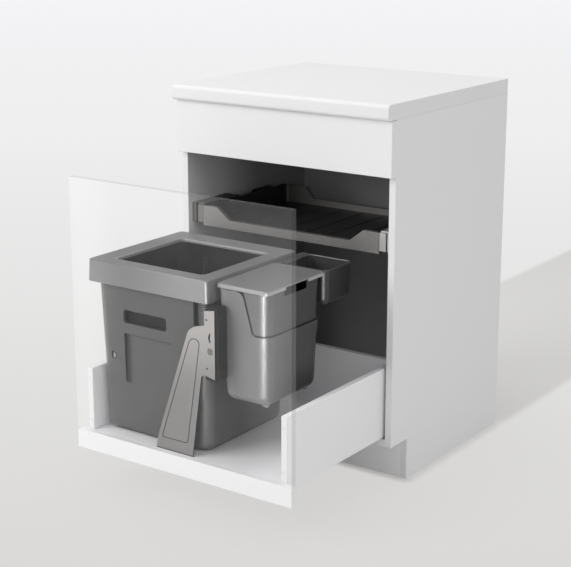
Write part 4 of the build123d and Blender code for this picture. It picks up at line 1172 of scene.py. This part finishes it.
# ---- Small open box ----
# A shallow moulded box for cleaning things hangs on the rail behind the caddy. Its rim is rolled
# into a bead that catches the light.
box_low, box_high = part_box("small_box")
box_left = lid_low.x + 0.020
box_corner = 0.014
box_foot_round = 0.016
box_wall = 0.0024
box_draft = 0.00145
box_lean = (box_draft,) * 4
box_mouth_corner = 0.011
hook_foot = 0.455
hook_sheet = 0.0025
hook_inset = 0.014
bead_size = 0.0034
bead_mouth_corner = 0.0106

box_body_low = Vector((box_left, box_low.y, box_low.z))
box_shell = shell(box_body_low, box_high, box_lean, box_corner, box_corner, box_foot_round, box_wall)
flange = from_box(
    Vector((lid_low.x, box_low.y, box_high.z - box_wall)),
    Vector((box_left + 0.0015, box_high.y, box_high.z)),
)
flange_mouth = tub(
    box_body_low + Vector((box_wall, box_wall, past_edge)),
    box_high + Vector((-box_wall, -box_wall, past_edge)),
    box_mouth_corner,
)
flange = combine("DIFFERENCE", flange, flange_mouth)
box_hook = from_box(
    Vector((box_low.x, box_low.y + hook_inset, hook_foot)),
    Vector((box_low.x + hook_sheet, box_high.y - hook_inset, box_high.z)),
)
box_mesh = combine("UNION", box_shell, flange, box_hook)
box_plastic = moulding("small_box_plastic", shift(bin_grey, -0.55), 0.38, 0.6, 0.4)
shade_right(box_plastic, box_body_low, box_high)
box_over = past_rounding(box_plastic, box_body_low, box_high, box_lean, box_corner)
thin_flat_skin(box_plastic, box_over, box_corner)
in_box = wall_depth(box_over, box_corner) > inside_wall
in_box = in_box * (box_plastic.axis("Z") > box_low.z + tiny)
# Painted light: the inside of the box is painted a lighter grey than its outside.
shade_inside(box_plastic, in_box, (0.06, 0.06, 0.06))
small_box = piece("open_box", "small_box", box_mesh, box_plastic, 0)
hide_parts("small_box")
strip_lit.objects.link(small_box)

bead_low = Vector((box_left, box_low.y, box_high.z - bead_size))
bead_mouth = tub(
    bead_low + Vector((bead_size, bead_size, -past_edge)),
    box_high + Vector((-bead_size, -bead_size, past_edge)),
    bead_mouth_corner,
)
bead = combine("DIFFERENCE", tub(bead_low, box_high, box_corner), bead_mouth)
# Painted highlight: the bead is a lighter grey than the box it is moulded on.
bead_painted_highlight = moulding("bead_painted_highlight", frame_grey, 0.3, 1.0)
piece("small_box_bead", "small_box", bead, bead_painted_highlight, 0.0014)


# ---- Upper tray ----
# A shallow tray with plastic sides and floor runs on its own slides under the fascia. Its folded
# rims, the covers over the slides and the end caps are sheet metal in a titanium grey.
titanium = steel("titanium_grey", (0.275, 0.265, 0.258), 0.42, (0.05, 1, 1), 0.7)
coat(titanium, "tray_front_rim", "tray_back_rim")
# Painted shade: the cover and end cap on the left are a darker grey than those on the right.
left_cover_painted_shade = (0.22, 0.212, 0.207)
right_cover_grey = (0.55, 0.54, 0.53)
cover_metal = steel("cover_metal", right_cover_grey, 0.42, (1, 0.05, 1), 0.7)
on_right = cover_metal.axis("X") > 0
cover_metal.put("Base Color", cover_metal.mix(on_right, left_cover_painted_shade, right_cover_grey))
coat(cover_metal, "tray_cover_left", "tray_cover_right", "tray_end_cap_left", "tray_end_cap_right")
tray_black = moulding("tray_black", (0.03, 0.03, 0.03), 0.5, 0.15)
coat(tray_black, "tray_side_left", "tray_side_right", "tray_floor")
coat(tray_black, "tray_spacers_left", "tray_spacers_right")
